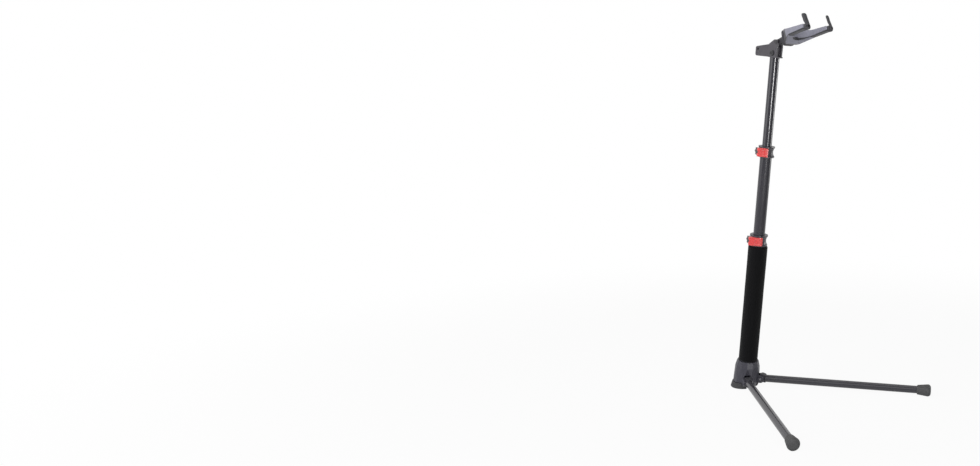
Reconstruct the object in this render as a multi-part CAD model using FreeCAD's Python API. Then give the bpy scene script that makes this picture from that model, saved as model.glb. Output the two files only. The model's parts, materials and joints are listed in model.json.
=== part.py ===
import FreeCAD, Part
import math
import os

# Guitar stand: folding legs, telescopic column and a yoke whose fingers close under load.
# Millimetres and degrees. Front is -Y, left is -X, the floor is Z = 0.

# Fits and clearances
RUN = 0.05           # radial running fit of shafts, pins and sliding tubes
SIDE_GAP = 0.3       # beside a part that swings between two walls
SOFT_GAP = 0.1       # round soft parts
CUT_PAST = 20.0      # how far a cutter runs past the face it opens
SHARP = 30.0         # edges that turn by more than this are rounded

# Column
LEAN = 8.04          # the column leans to the front
COLUMN_SET = 6.9     # its axis meets the floor this far in front of the sole's centre
LOWER_OD = 36.0
MID_OD = 31.0
UPPER_OD = 25.0
TUBE_WALL = 1.5
TUBE_FOOT = 30.0     # lower end of the lower tube, along the axis from the floor
BOOT_TOP = 78.0
GRIP_OD = 52.0
GRIP_TOP = 402.0
LOWER_CLAMP = 418.0  # centre of the lower collar
MID_SHOWN = 236.6    # lower collar centre to upper collar centre
UPPER_SHOWN = 240.9  # upper collar centre to the bracket
MID_LENGTH = 365.0
UPPER_LENGTH = 380.0
BUSH_LENGTH = 25.0

# Clamp collars and their flip levers
COLLAR_HEIGHT = 28.0
COLLAR_LIP = 6.0     # part of the collar above the end of the outer tube
COLLAR_SKIN = 2.0    # wall at the waist
FLANGE_OUT = 6.0     # flange beyond the outer tube
FLANGE_THICK = 2.5
EAR_ANGLE = 154.0    # where the ears stand, seen from above
EAR_THICK = 5.0
EAR_HEIGHT = 18.0
EAR_PAST = 3.5       # ear beyond the bolt
SLIT = 3.0
BOLT_OUT = 3.0       # bolt axis beyond the flange
CLAMP_BOLT_R = 2.5
NUT_THICK = 4.0
NUT_FLATS = 8.0
CAM_R = 5.2
CAM_PIN_R = 2.0
EYE_R = 3.6
EYE_HEIGHT = 6.0
LEVER_HEIGHT = 22.6
LEVER_THICK = 4.7
LEVER_GAP = 0.8
LEVER_EDGE = 1.5
LEVER_FROM = 22.0    # the handles start and end at these angles past the ears
LOWER_LEVER_TO = 92.0
UPPER_LEVER_TO = 81.0
LEVER_BLEND = 50.0   # angle where the blend from the hub meets the handle
HUB_BLEND = 62.0     # angle on the hub where the blend leaves it
PAD_SINK = 0.8       # thumb recess in the handle
PAD_HEIGHT = 14.0
PAD_AFTER = 30.0     # angles from the handle's ends to the recess
PAD_BEFORE = 9.0

# Base
FACETS = 12
FOOT_R = 37.4        # sole
FOOT_TOP_R = 37.6    # top edge, centred on the column
FOOT_HEIGHT = 20.0
FOOT_WALL = 3.4
FOOT_FLOOR = 5.0
FOOT_ROUND = 4.0     # lower edge
FOOT_FRONT = 14.0    # the foot ends here, ahead of the middle, and leaves the legs' side open
BOOT_FOOT_R = 37.0   # rings through the corners of the facets
BOOT_WAIST_R = 33.4
BOOT_TOP_R = 29.2
BOOT_WAIST = 62.0    # height of the middle ring along the axis
SCREW_R = 4.0
SCREW_HEAD_R = 7.0
SCREW_HEAD = 6.0
SCREW_SOCKET = 6.0   # across the flats of its hexagon socket
SOCKET_DEPTH = 0.5   # share of a screw head's height
SCREW_SEAT = 15.0    # under side of the boot's inner floor, along the column axis
PLUG_LENGTH = 25.0

# Legs
LEG_SPREAD = 30.78   # each leg's angle from straight ahead
LEG_REACH = 514.1    # sole centre to the end of the cap
LEG_PIVOT = 50.0     # sole centre to the leg's pin
PIVOT_HEIGHT = 24.0
CAP_HEIGHT = 15.6    # height of the leg's axis at its end
LEG_FOLD = 80.0
LEG_OD = 20.0
LEG_WALL = 1.5
LEG_START = 13.0     # pin to the start of the tube
ROOT_R = 9.0
ROOT_WIDTH = 16.0
ROOT_SHY = 1.0       # the web meets the eye this much inside its round
ROOT_BACK = 4.0      # web behind the pin
GUSSET = 13.5        # top of the root's gusset above the pin
GUSSET_BACK = 1.0    # its ends behind and ahead of the pin
GUSSET_AHEAD = 5.0
GUSSET_BEND = 2.0
GROOVE_LAP = 1.0     # the groove reaches this far past the tube's start
SPIGOT_LENGTH = 49.0
LEG_PIN_R = 3.0
EAR_R = 10.5         # ears of the boot round the leg's pin
EAR_WIDTH = 28.0     # over both ears
EAR_BACK = 28.0
EAR_EDGE = 1.2
CAP_R = 16.0
CAP_NECK_R = 12.5
CAP_LENGTH = 36.0
CAP_ROUND = 8.0
CAP_END = 5.0
RIVET_AT = 39.0
RIVET_R = 2.0
RIVET_HEAD_R = 3.5
RIVET_HEAD = 1.2

# Head bracket and its lock lever, in the column's frame from the bracket's lower face
BRACKET_WIDTH = 22.0
CHEEK = 5.5
BRACKET_BACK = 14.0
BRACKET_FRONT = 15.0
BRACKET_REAR_TOP = 33.0
BRACKET_FLOOR = 3.0
FLOOR_BACK = 12.0
WEB = 3.0
WEB_TOP = 28.0
WEB_SET = 4.0        # web behind the cheeks' front edges
BRACKET_LIP = 2.5
BRACKET_EDGE = 0.8
BRACKET_CORNER = 1.5
BRACKET_BEND = 4.0
BRACKET_SPIGOT = 35.0
TILT_AHEAD = 10.0    # tilt pin in front of the column axis
TILT_UP = 39.0
TILT_PIN_R = 3.0
PIN_HEAD_R = 4.5
PIN_HEAD = 1.2
KNUCKLE_R = 7.5
KNUCKLE_SHY = 1.0    # the neck meets the knuckle this much inside its round
BOSS = 6.5           # bracket round the tilt pin
LOCK_UP = 11.0       # lock lever's bolt above the bracket's lower face
LOCK_HUB_R = 7.4
LOCK_BOLT_R = 3.5
LOCK_HEAD_R = 7.0
LOCK_HEAD = 3.5
LOCK_DOME = 2.0      # the head narrows by this much to its face
LOCK_SOCKET = 5.0
TONGUE_REACH = 67.0
TONGUE_TOP = 22.0
TONGUE_LOW = -1.5
TONGUE_ROOT_TOP = 33.0
TONGUE_HOLE_R = 3.0
TONGUE_EDGE = 1.5
TONGUE_CORNER = 5.0
TONGUE_BEND = 2.0
TONGUE_STEP = 3.0    # behind the bracket and under the bolt, where the tongue deepens
SHOE_BELOW = 2.5     # top of the shoe below the tilt pin

# Yoke, from its tilt pin: F runs forward, height is over the line of the finger shafts
YOKE_RISE = 8.6      # the yoke points up to the front
AXIS_UP = 8.4        # finger shafts over the tilt pin
NECK_HEIGHT = 12.0
NECK_F = 19.0
NECK_R = 5.0
CONE_R = 14.5
PLATE_F = 28.0
PLATE_THICK = 8.5
PLATE_WIDTH = 36.0
PLATE_TOP = 15.5
PLATE_LOW = -23.5
PLATE_CORNER = 8.0
PLATE_EDGE = 1.5
PLATE_SCREW_R = 2.2
PLATE_SCREW_HEAD_R = 4.0
PLATE_SCREW_HEAD = 3.0
PLATE_SCREW_APART = 16.0
PLATE_SCREW_LENGTH = 12.5
BODY_GAP = 0.5       # between plate and body
BODY_TOP = 14.8
BODY_LOW = -21.8
BODY_REAR_WIDTH = 38.0
REAR_F = 45.5        # front of the rear block
REAR_CORNER = 5.0
SHOULDER_BEND = 20.0
ARM_CORNER = 3.0
LEVEL_BEND = 20.0    # where the slopes of top and under side change
SHOULDER_F = 83.0
ARM_F = 134.0
ARM_TOP = 7.2
ARM_LOW = -9.2
ARM_TIP_LOW = -5.4   # the arm's under side rises to its end
ARM_WIDTH = 20.0
THROAT = 64.0
THROAT_F = 60.5      # bottom of the throat
BODY_WALL = 3.0
TOP_WALL = 1.8
ARM_WALL = 1.6
BODY_EDGE = 2.0
COVER = 2.2
COVER_F = 106.0
COVER_SCREW_F = 102.0
COVER_SCREW_OUT = 6.2  # outside the shaft
COVER_SCREW_R = 1.2
COVER_SCREW_LENGTH = 3.8
COVER_SCREW_HEAD_R = 2.4
COVER_SCREW_HEAD = 1.2
COVER_SCREW_SINK = 0.5

# Drive of the fingers: the body drops, the fork stands still and turns the cranked shafts
DROP = 4.6
CRANK_HALF_TURN = 45.0
CRANK_PIN_R = 1.3
CRANK_EYE_R = 2.0
CRANK_HUB_R = 4.6
CRANK_THICK = 3.0
CRANK_F = 94.0
SHAFT_R = 4.0
SHAFT_INTO_FINGER = 4.0
FORK_HIGH = 0.4
FORK_LOW = -5.6
FORK_STEM = 18.0
FORK_WIDTH = 4.0
TAB = 3.0
TAB_GAP = 0.5
TENON = 3.5
TENON_WIDTH = 12.0
TENON_HEIGHT = 4.0
SPRING_R = 4.0
SPRING_WIRE_R = 0.4
SPRING_TURNS = 5
SPRING_F = 50.5
SPRING_POCKET = 4.0

# Fingers
FINGER_GAP = 0.6     # between the arm's end and the finger
FINGER_HUB_R = 8.0
FINGER_THICK = 6.5   # hub
FINGER_EDGE = 1.0
FINGER_WIDE = 12.4   # section of the blade
FINGER_DEEP = 7.8
FINGER_TURN = 38.0   # the blade's broad face is turned outward
FINGER_AHEAD = 6.3   # blade in front of the hub's rear face
FINGER_UP = 33.0
FINGER_DOWN = 7.5
FINGER_ROUND = 5.0   # height of the rounded tip
FINGER_LEAN = 9.4
FINGER_NEAR_TIP = 0.86  # section near the rounded ends, as a share of the full one
FINGER_TIP = 0.5     # section at the ends
FINGER_SCREW_R = 2.0
FINGER_SCREW_HEAD_R = 3.6
FINGER_SCREW_HEAD = 2.0
FINGER_SCREW_LENGTH = 10.0
FINGER_SCREW_SINK = 0.5
FINGER_SOCKET = 3.0

# Values that follow from the sizes above
V = FreeCAD.Vector
X_AXIS = V(1, 0, 0)
Z_AXIS = V(0, 0, 1)
FORWARD = V(0, -1, 0)
SIDES = (("left", -1), ("right", 1))

UPPER_CLAMP = LOWER_CLAMP + MID_SHOWN
BRACKET_AT = UPPER_CLAMP + UPPER_SHOWN
COLLAR_HALF = COLLAR_HEIGHT / 2
TUBE_END = COLLAR_HALF - COLLAR_LIP
EAR_FACE = SLIT / 2 + EAR_THICK
CAM_SIDE = EAR_FACE + SIDE_GAP + CAM_R
CHEEK_GAP = BRACKET_WIDTH - 2 * CHEEK
TONGUE_WIDTH = CHEEK_GAP - 2 * SIDE_GAP
BODY_F = PLATE_F + PLATE_THICK + BODY_GAP
THROAT_R = THROAT / 2
THROAT_CENTRE_F = THROAT_F + THROAT_R
ARM_X = THROAT_R + ARM_WIDTH / 2
CRANK_R = DROP / (2 * math.sin(math.radians(CRANK_HALF_TURN)))
TAB_F = CRANK_F - TAB_GAP - TAB
POCKET_F = CRANK_F + CRANK_THICK + TAB_GAP
FINGER_F = ARM_F + FINGER_GAP
LEG_SLOPE = math.degrees(math.atan2(PIVOT_HEIGHT - CAP_HEIGHT, LEG_REACH - LEG_PIVOT))
FOOT_SHIFT = COLUMN_SET + FOOT_HEIGHT * math.tan(math.radians(LEAN))
LEG_LENGTH = math.hypot(LEG_REACH - LEG_PIVOT, PIVOT_HEIGHT - CAP_HEIGHT)


def placement(x, y, z, axis=Z_AXIS, angle=0.0):
    """A place with a turn about an axis."""
    return FreeCAD.Placement(V(x, y, z), FreeCAD.Rotation(axis, angle))


def put(shape, place):
    """A copy of the shape, carried to a place."""
    moved = shape.copy()
    moved.Placement = place.multiply(moved.Placement)
    return moved


def box(x0, x1, y0, y1, z0, z1):
    """A block between two corners."""
    return Part.makeBox(x1 - x0, y1 - y0, z1 - z0, V(x0, y0, z0))


def rod(radius, start, end):
    """A round bar from one point to another."""
    run = end - start
    return Part.makeCylinder(radius, run.Length, start, run)


def pipe(outer, inner, low, high):
    """A round tube standing on the Z axis."""
    return rod(outer, V(0, 0, low), V(0, 0, high)).cut(rod(inner, V(0, 0, low), V(0, 0, high)))


def outline(corners):
    """A closed flat wire through corners (x, y, radius), each rounded by its radius."""
    arcs = []
    count = len(corners)
    for i, (x, y, radius) in enumerate(corners):
        corner = V(x, y, 0)
        before = V(*corners[i - 1][:2], 0) - corner
        after = V(*corners[(i + 1) % count][:2], 0) - corner
        before.normalize()
        after.normalize()
        half = before.getAngle(after) / 2
        reach = radius / math.tan(half)
        middle = before + after
        if radius and middle.Length:
            middle.normalize()
            middle = corner + middle * (radius / math.sin(half) - radius)
        arcs.append((corner + before * reach, middle, corner + after * reach, radius))
    edges = []
    for i, (start, middle, end, radius) in enumerate(arcs):
        if radius:
            edges.append(Part.Arc(start, middle, end).toShape())
        following = arcs[(i + 1) % count][0]
        if (following - end).Length > 1e-4:
            edges.append(Part.LineSegment(end, following).toShape())
    return Part.Wire(Part.__sortEdges__(edges))


def plan_slab(corners, low, high):
    """An outline seen from above, (x, y, radius), as a plate from low to high."""
    face = Part.Face(outline(corners))
    face.translate(V(0, 0, low))
    return face.extrude(V(0, 0, high - low))


def side_slab(corners, width):
    """An outline seen from the side, (y, z, radius), as a plate centred on X."""
    slab = plan_slab(corners, -width / 2, width / 2)
    return put(slab, placement(0, 0, 0, V(1, 1, 1), 120))


def front_slab(corners, near_f, far_f):
    """An outline seen from behind, (x, z, radius), from one distance forward to another."""
    slab = plan_slab(corners, near_f, far_f)
    return put(slab, placement(0, 0, 0, X_AXIS, 90))


def turned(points, angle=360):
    """A profile of (radius, height) points turned about the Z axis."""
    wire = Part.makePolygon([V(r, 0, z) for r, z in points + points[:1]])
    return Part.Face(wire).revolve(V(), Z_AXIS, angle)


def hexagon(flats, low, high):
    """A six-sided bar on the Z axis."""
    radius = flats / 2 / math.cos(math.pi / 6)
    turns = [math.radians(60 * i) for i in range(6)]
    corners = [(radius * math.cos(t), radius * math.sin(t), 0) for t in turns]
    return plan_slab(corners, low, high)


def nut(flats, hole):
    """A six-sided nut standing on the floor of its frame."""
    return hexagon(flats, 0, NUT_THICK).cut(rod(hole, V(0, 0, 0), V(0, 0, NUT_THICK)))


def rimmed(shape, radius, way):
    """The shape with the sharp edges rounded round every face that looks along a direction."""
    solid = shape.removeSplitter().Solids[0]
    rims = []
    for edge in solid.Edges:
        middle = edge.valueAt((edge.FirstParameter + edge.LastParameter) / 2)
        faces = solid.ancestorsOfType(edge, Part.Face)
        normals = [face.normalAt(*face.Surface.parameter(middle)) for face in faces]
        turn = math.degrees(normals[0].getAngle(normals[-1]))
        if turn > SHARP and max(abs(normal.dot(way)) for normal in normals) > math.cos(math.radians(SHARP)):
            rims.append(edge)
    return solid.makeFillet(radius, rims)


def ring_corners(radius, place, shift):
    """Corners of a regular ring, turned by a share of one step."""
    turns = [2 * math.pi * (i + shift) / FACETS for i in range(FACETS)]
    return [place.multVec(V(radius * math.cos(t), radius * math.sin(t), 0)) for t in turns]


def faceted(low, middle, high):
    """Solid with long triangles from a low ring to a middle one and flat facets above."""
    panes = [low, high]
    for i in range(FACETS):
        j = (i + 1) % FACETS
        panes.append([low[i], low[j], middle[i]])
        panes.append([low[j], middle[j], middle[i]])
        panes.append([middle[i], middle[j], high[j], high[i]])
    faces = [Part.Face(Part.makePolygon(pane + pane[:1])) for pane in panes]
    return Part.makeSolid(Part.makeShell(faces))


def biarc(start, start_way, end, end_way):
    """Two arcs that join two points and keep both directions."""
    span = end - start
    both = start_way + end_way
    bend = 2 * (1 - start_way.dot(end_way))
    along = span.dot(both)
    reach = (math.sqrt(along * along + bend * span.dot(span)) - along) / bend
    first = start + start_way * reach
    second = end - end_way * reach
    joint = (first + second) * 0.5
    arcs = []
    for a, control, b in ((start, first, joint), (joint, second, end)):
        middle = (a + b) * 0.5
        chord = (b - a).Length / 2
        half = math.acos(min(1.0, chord / (control - a).Length))
        rise = (control - middle) * (math.tan(half / 2) / math.tan(half))
        arcs.append(Part.Arc(a, middle + rise, b).toShape())
    return arcs


def coil(radius, wire_r, length, turns):
    """A compression spring standing on the Z axis, its wire within the length."""
    pitch = (length - 2 * wire_r) / turns
    steps = 4 * turns

    def station(i):
        angle = math.pi / 2 * i
        point = V(radius * math.cos(angle), radius * math.sin(angle), wire_r + pitch * i / 4)
        way = V(-math.sin(angle), math.cos(angle), pitch / (2 * math.pi * radius))
        way.normalize()
        return point, way

    edges = []
    for i in range(steps):
        edges += biarc(*station(i), *station(i + 1))
    point, way = station(0)
    section = Part.Wire(Part.makeCircle(wire_r, point, way))
    print("return spring: least gap between turns %.2f mm" % (pitch - 2 * wire_r))
    return Part.Wire(edges).makePipeShell([section], True, False)


# Frames
COLUMN = placement(0, -COLUMN_SET, 0, X_AXIS, LEAN)
TILT_PIN = COLUMN.multVec(V(0, -TILT_AHEAD, BRACKET_AT + TILT_UP))
YOKE = placement(TILT_PIN.x, TILT_PIN.y, TILT_PIN.z, X_AXIS, -YOKE_RISE)


def leg_plane(side):
    """Upright frame at a leg's pin, its -Y pointing along the leg over the floor."""
    turn = math.radians(LEG_SPREAD)
    x = side * LEG_PIVOT * math.sin(turn)
    return placement(x, -LEG_PIVOT * math.cos(turn), PIVOT_HEIGHT, Z_AXIS, side * LEG_SPREAD)


def leg_frame(side, raised=0.0):
    """Frame of the leg itself, its -Y along the tube, folded up by an angle."""
    return leg_plane(side).multiply(placement(0, 0, 0, X_AXIS, LEG_SLOPE - raised))


def clamp_frame(centre):
    """Frame of a collar, its X out along the ears and its Z up the column."""
    return COLUMN.multiply(placement(0, 0, centre, Z_AXIS, EAR_ANGLE))


def foot_form(low, high, inset):
    """The foot's leaning cone between two heights, set in from its outside."""
    rings = []
    for z in (low, high):
        share = z / FOOT_HEIGHT
        radius = FOOT_R + (FOOT_TOP_R - FOOT_R) * share - inset
        rings.append(Part.Wire(Part.makeCircle(radius, V(0, -FOOT_SHIFT * share, z))))
    return Part.makeLoft(rings, True, True)


def base_boot():
    """Faceted boot with the tube's socket, two leg slots with ears and folding grooves."""
    boot = faceted(ring_corners(BOOT_FOOT_R, placement(0, -FOOT_SHIFT, FOOT_HEIGHT), 0),
                   ring_corners(BOOT_WAIST_R, COLUMN.multiply(placement(0, 0, BOOT_WAIST)), 0.5),
                   ring_corners(BOOT_TOP_R, COLUMN.multiply(placement(0, 0, BOOT_TOP)), 0.5))
    boot = boot.fuse(foot_form(FOOT_FLOOR, FOOT_HEIGHT, FOOT_WALL))
    for name, side in SIDES:
        ears = rod(EAR_R, V(-EAR_WIDTH / 2, 0, 0), V(EAR_WIDTH / 2, 0, 0))
        ears = ears.fuse(box(-EAR_WIDTH / 2, EAR_WIDTH / 2, 0, EAR_BACK, -EAR_R, EAR_R))
        boot = boot.fuse(put(rimmed(ears, EAR_EDGE, X_AXIS), leg_plane(side)))
    boot = boot.cut(put(rod(LOWER_OD / 2, V(0, 0, TUBE_FOOT), V(0, 0, BOOT_TOP + CUT_PAST)), COLUMN))
    boot = boot.cut(put(rod(SCREW_R, V(0, 0, 0), V(0, 0, TUBE_FOOT)), COLUMN))
    boot = boot.cut(put(rod(SCREW_HEAD_R + SIDE_GAP, V(0, 0, -CUT_PAST), V(0, 0, SCREW_SEAT)), COLUMN))
    for name, side in SIDES:
        boot = boot.cut(leg_room(side))
        boot = boot.cut(put(leg_pin(), leg_plane(side)))
    return boot.removeSplitter()


def leg_room(side):
    """Space of the leg's root as it swings, and of the tube when it is folded up."""
    half = ROOT_WIDTH / 2 + SIDE_GAP
    swing = math.hypot(LEG_START, LEG_OD / 2) + 2 * SIDE_GAP
    slot = rod(swing, V(-half, 0, 0), V(half, 0, 0))
    slot = slot.common(box(-half, half, -swing, swing, -ROOT_R - SIDE_GAP, swing))
    groove = rod(LEG_OD / 2 + 2 * SIDE_GAP, V(0, GROOVE_LAP - LEG_START, 0), V(0, -LEG_START - BOOT_TOP, 0))
    return put(slot, leg_plane(side)).fuse(put(groove, leg_frame(side, LEG_FOLD)))


def leg_pin():
    """Pin of a leg, flush with the outside of the ears."""
    return rod(LEG_PIN_R, V(-EAR_WIDTH / 2, 0, 0), V(EAR_WIDTH / 2, 0, 0))


def base_foot():
    """Rubber foot: a leaning cup round the boot, open between the legs."""
    foot = foot_form(0, FOOT_HEIGHT, 0)
    sole = [edge for edge in foot.Edges if edge.BoundBox.ZMax < FOOT_FLOOR]
    foot = foot.makeFillet(FOOT_ROUND, sole)
    foot = foot.cut(foot_form(FOOT_FLOOR, FOOT_HEIGHT, FOOT_WALL))
    wide = 2 * FOOT_R
    foot = foot.cut(box(-wide, wide, -wide, -FOOT_FRONT, -CUT_PAST, FOOT_HEIGHT + CUT_PAST))
    for name, side in SIDES:
        half = EAR_WIDTH / 2 + SIDE_GAP
        notch = box(-half, half, -FOOT_R, EAR_BACK, -EAR_R - SIDE_GAP, CUT_PAST)
        foot = foot.cut(put(notch, leg_plane(side)))
    return foot


def base_plug():
    """Threaded plug in the lower end of the lower tube."""
    plug = pipe(LOWER_OD / 2 - TUBE_WALL, SCREW_R, TUBE_FOOT, TUBE_FOOT + PLUG_LENGTH)
    return put(plug, COLUMN)


def base_screw():
    """Screw from under the boot into the plug."""
    screw = rod(SCREW_R, V(0, 0, SCREW_SEAT), V(0, 0, TUBE_FOOT + PLUG_LENGTH))
    foot = SCREW_SEAT - SCREW_HEAD
    head = rod(SCREW_HEAD_R, V(0, 0, foot), V(0, 0, SCREW_SEAT))
    socket = hexagon(SCREW_SOCKET, foot, foot + SCREW_HEAD * SOCKET_DEPTH)
    return put(screw.fuse(head).cut(socket), COLUMN)


def leg_root(side):
    """Root fitting: eye on the pin, gusset, and a spigot inside the tube."""
    web = ROOT_R - ROOT_SHY
    profile = [(ROOT_BACK, web, 0), (GUSSET_BACK, GUSSET, GUSSET_BEND), (-GUSSET_AHEAD, GUSSET, GUSSET_BEND),
               (-LEG_START, LEG_OD / 2, 0), (-LEG_START, -LEG_OD / 2, 0), (0, -web, 0)]
    root = side_slab(profile, ROOT_WIDTH)
    root = root.fuse(rod(ROOT_R, V(-ROOT_WIDTH / 2, 0, 0), V(ROOT_WIDTH / 2, 0, 0)))
    spigot_r = LEG_OD / 2 - LEG_WALL
    root = root.fuse(rod(spigot_r, V(0, -LEG_START, 0), V(0, -LEG_START - SPIGOT_LENGTH, 0)))
    root = root.cut(rod(LEG_PIN_R + RUN, V(-ROOT_WIDTH, 0, 0), V(ROOT_WIDTH, 0, 0)))
    root = root.cut(rivet_shank())
    return put(root.removeSplitter(), leg_frame(side))


def rivet_shank():
    """Shank of the rivet across a leg tube."""
    half = LEG_OD / 2
    return rod(RIVET_R, V(-half, -RIVET_AT, 0), V(half, -RIVET_AT, 0))


def leg_tube(side):
    """Round tube of a leg."""
    start = V(0, -LEG_START, 0)
    end = V(0, CAP_END - LEG_LENGTH, 0)
    tube = rod(LEG_OD / 2, start, end).cut(rod(LEG_OD / 2 - LEG_WALL, start, end))
    return put(tube.cut(rivet_shank()), leg_frame(side))


def leg_rivet(side):
    """Rivet with a low domed head at each end."""
    half = LEG_OD / 2
    rivet = rivet_shank()
    dome = (RIVET_HEAD_R ** 2 + RIVET_HEAD ** 2) / (2 * RIVET_HEAD)
    for way in (-1, 1):
        ball = Part.makeSphere(dome, V(way * (half + RIVET_HEAD - dome), -RIVET_AT, 0))
        head = rod(RIVET_HEAD_R, V(way * half, -RIVET_AT, 0), V(way * (half + RIVET_HEAD), -RIVET_AT, 0))
        rivet = rivet.fuse(head.common(ball))
    return put(rivet, leg_frame(side))


def leg_cap(side):
    """Rubber cap with a domed end, flat where it stands on the floor."""
    flat = CAP_R - CAP_ROUND
    bend = CAP_ROUND * math.sqrt(0.5)
    points = [V(CAP_R, 0, CAP_ROUND), V(CAP_NECK_R, 0, CAP_LENGTH), V(LEG_OD / 2, 0, CAP_LENGTH),
              V(LEG_OD / 2, 0, CAP_END), V(0, 0, CAP_END), V(0, 0, 0), V(flat, 0, 0)]
    curve = Part.Arc(points[-1], V(flat + bend, 0, CAP_ROUND - bend), points[0]).toShape()
    cap = Part.Face(Part.Wire(Part.makePolygon(points).Edges + [curve])).revolve(V(), Z_AXIS, 360)
    cap = put(cap, placement(0, -LEG_LENGTH, 0, X_AXIS, -90))
    cap = put(cap, leg_frame(side))
    room = LEG_REACH + CAP_R
    return cap.cut(box(-room, room, -room, room, -CUT_PAST, 0))


def lower_tube():
    """Fixed tube of the column."""
    tube = pipe(LOWER_OD / 2, LOWER_OD / 2 - TUBE_WALL, TUBE_FOOT, LOWER_CLAMP + TUBE_END)
    return put(tube, COLUMN)


def foam_grip():
    """Foam sleeve on the lower tube, standing on the boot."""
    return put(pipe(GRIP_OD / 2, LOWER_OD / 2 + SOFT_GAP, BOOT_TOP + SOFT_GAP, GRIP_TOP), COLUMN)


def sliding_tube(od, top, length):
    """Inner tube of the telescope, given by its upper end."""
    return put(pipe(od / 2, od / 2 - TUBE_WALL, top - length, top), COLUMN)


def bushing(od, outer_od, low):
    """Guide sleeve on the lower end of an inner tube, running in the outer tube."""
    return put(pipe(outer_od / 2 - TUBE_WALL - RUN, od / 2, low, low + BUSH_LENGTH), COLUMN)


def flange_r(od):
    """Outer radius of a collar's flanges on a tube."""
    return od / 2 + FLANGE_OUT


def bolt_x(od):
    """Distance of the clamp bolt from the column axis."""
    return flange_r(od) + BOLT_OUT


def collar(od, inner_od, centre):
    """Split collar: waisted ring on the outer tube, slit and ears with the bolt's hole."""
    wide = flange_r(od)
    waist = od / 2 + COLLAR_SKIN
    edge = COLLAR_HALF - FLANGE_THICK
    top_bore = inner_od / 2 + RUN
    points = [V(wide, 0, edge), V(wide, 0, COLLAR_HALF), V(top_bore, 0, COLLAR_HALF),
              V(top_bore, 0, TUBE_END), V(od / 2, 0, TUBE_END), V(od / 2, 0, -COLLAR_HALF),
              V(wide, 0, -COLLAR_HALF), V(wide, 0, -edge)]
    curve = Part.Arc(points[-1], V(waist, 0, 0), points[0]).toShape()
    ring = Part.Face(Part.Wire(Part.makePolygon(points).Edges + [curve])).revolve(V(), Z_AXIS, 360)
    tip = bolt_x(od) + EAR_PAST
    ears = box(waist - COLLAR_SKIN / 2, tip, -EAR_FACE, EAR_FACE, -EAR_HEIGHT / 2, EAR_HEIGHT / 2)
    ring = ring.fuse(ears)
    ring = ring.cut(box(0, tip + CUT_PAST, -SLIT / 2, SLIT / 2, -COLLAR_HEIGHT, COLLAR_HEIGHT))
    ring = ring.cut(rod(CLAMP_BOLT_R, V(bolt_x(od), -CUT_PAST, 0), V(bolt_x(od), CUT_PAST, 0)))
    return put(ring.removeSplitter(), clamp_frame(centre))


def clamp_bolt(od, centre):
    """Eye bolt through both ears."""
    x = bolt_x(od)
    bolt = rod(CLAMP_BOLT_R, V(x, -EAR_FACE - NUT_THICK, 0), V(x, CAM_SIDE, 0))
    eye = rod(EYE_R, V(x, CAM_SIDE, -EYE_HEIGHT / 2), V(x, CAM_SIDE, EYE_HEIGHT / 2))
    hole = rod(CAM_PIN_R + RUN, V(x, CAM_SIDE, -EYE_HEIGHT), V(x, CAM_SIDE, EYE_HEIGHT))
    return put(bolt.fuse(eye).cut(hole), clamp_frame(centre))


def clamp_nut(od, centre):
    """Nut on the eye bolt, against the far ear."""
    seated = put(nut(NUT_FLATS, CLAMP_BOLT_R), placement(bolt_x(od), -EAR_FACE, 0, X_AXIS, 90))
    return put(seated, clamp_frame(centre))


def cam_pin(od, centre):
    """Pin of the flip lever through the bolt's eye."""
    x = bolt_x(od)
    pin = rod(CAM_PIN_R, V(x, CAM_SIDE, -LEVER_HEIGHT / 2), V(x, CAM_SIDE, LEVER_HEIGHT / 2))
    return put(pin, clamp_frame(centre))


def flip_lever(od, centre, handle_to):
    """Flip lever: a cam hub on the pin, blended into a handle that wraps round the collar."""
    x = bolt_x(od)
    half = LEVER_HEIGHT / 2
    inner = flange_r(od) + LEVER_GAP
    outer = inner + LEVER_THICK
    section = [(inner, -half, LEVER_EDGE), (outer, -half, LEVER_EDGE),
               (outer, half, LEVER_EDGE), (inner, half, LEVER_EDGE)]
    face = put(Part.Face(outline(section)), placement(0, 0, 0, X_AXIS, 90))
    handle = put(face.revolve(V(), Z_AXIS, handle_to - LEVER_FROM), placement(0, 0, 0, Z_AXIS, LEVER_FROM))
    pad = [(outer - PAD_SINK, -PAD_HEIGHT / 2), (outer + PAD_SINK, -PAD_HEIGHT / 2),
           (outer + PAD_SINK, PAD_HEIGHT / 2), (outer - PAD_SINK, PAD_HEIGHT / 2)]
    pad_from = LEVER_FROM + PAD_AFTER
    sunk = turned(pad, handle_to - PAD_BEFORE - pad_from)
    handle = handle.cut(put(sunk, placement(0, 0, 0, Z_AXIS, pad_from)))
    meet = math.radians(LEVER_BLEND)
    leave = math.radians(HUB_BLEND)
    blend = [(x, CAM_SIDE, 0), (x + CAM_R * math.cos(leave), CAM_SIDE + CAM_R * math.sin(leave), 0),
             (outer * math.cos(meet), outer * math.sin(meet), 0),
             (inner * math.cos(meet), inner * math.sin(meet), 0)]
    lever = handle.fuse(plan_slab(blend, -half, half))
    lever = lever.fuse(rod(CAM_R, V(x, CAM_SIDE, -half), V(x, CAM_SIDE, half)))
    eye_half = EYE_HEIGHT / 2 + SIDE_GAP
    slack = CLAMP_BOLT_R + SIDE_GAP
    room = CAM_R + SIDE_GAP
    slot = rod(EYE_R + SIDE_GAP, V(x, CAM_SIDE, -eye_half), V(x, CAM_SIDE, eye_half))
    slot = slot.fuse(box(x - slack, x + room, CAM_SIDE - room, CAM_SIDE + slack, -eye_half, eye_half))
    lever = lever.cut(slot)
    lever = lever.cut(rod(CAM_PIN_R, V(x, CAM_SIDE, -half), V(x, CAM_SIDE, half)))
    return put(lever.removeSplitter(), clamp_frame(centre))


def at_bracket(shape):
    """Carry a shape from the bracket's own frame into the stand."""
    return put(shape, COLUMN.multiply(placement(0, 0, BRACKET_AT)))


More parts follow.
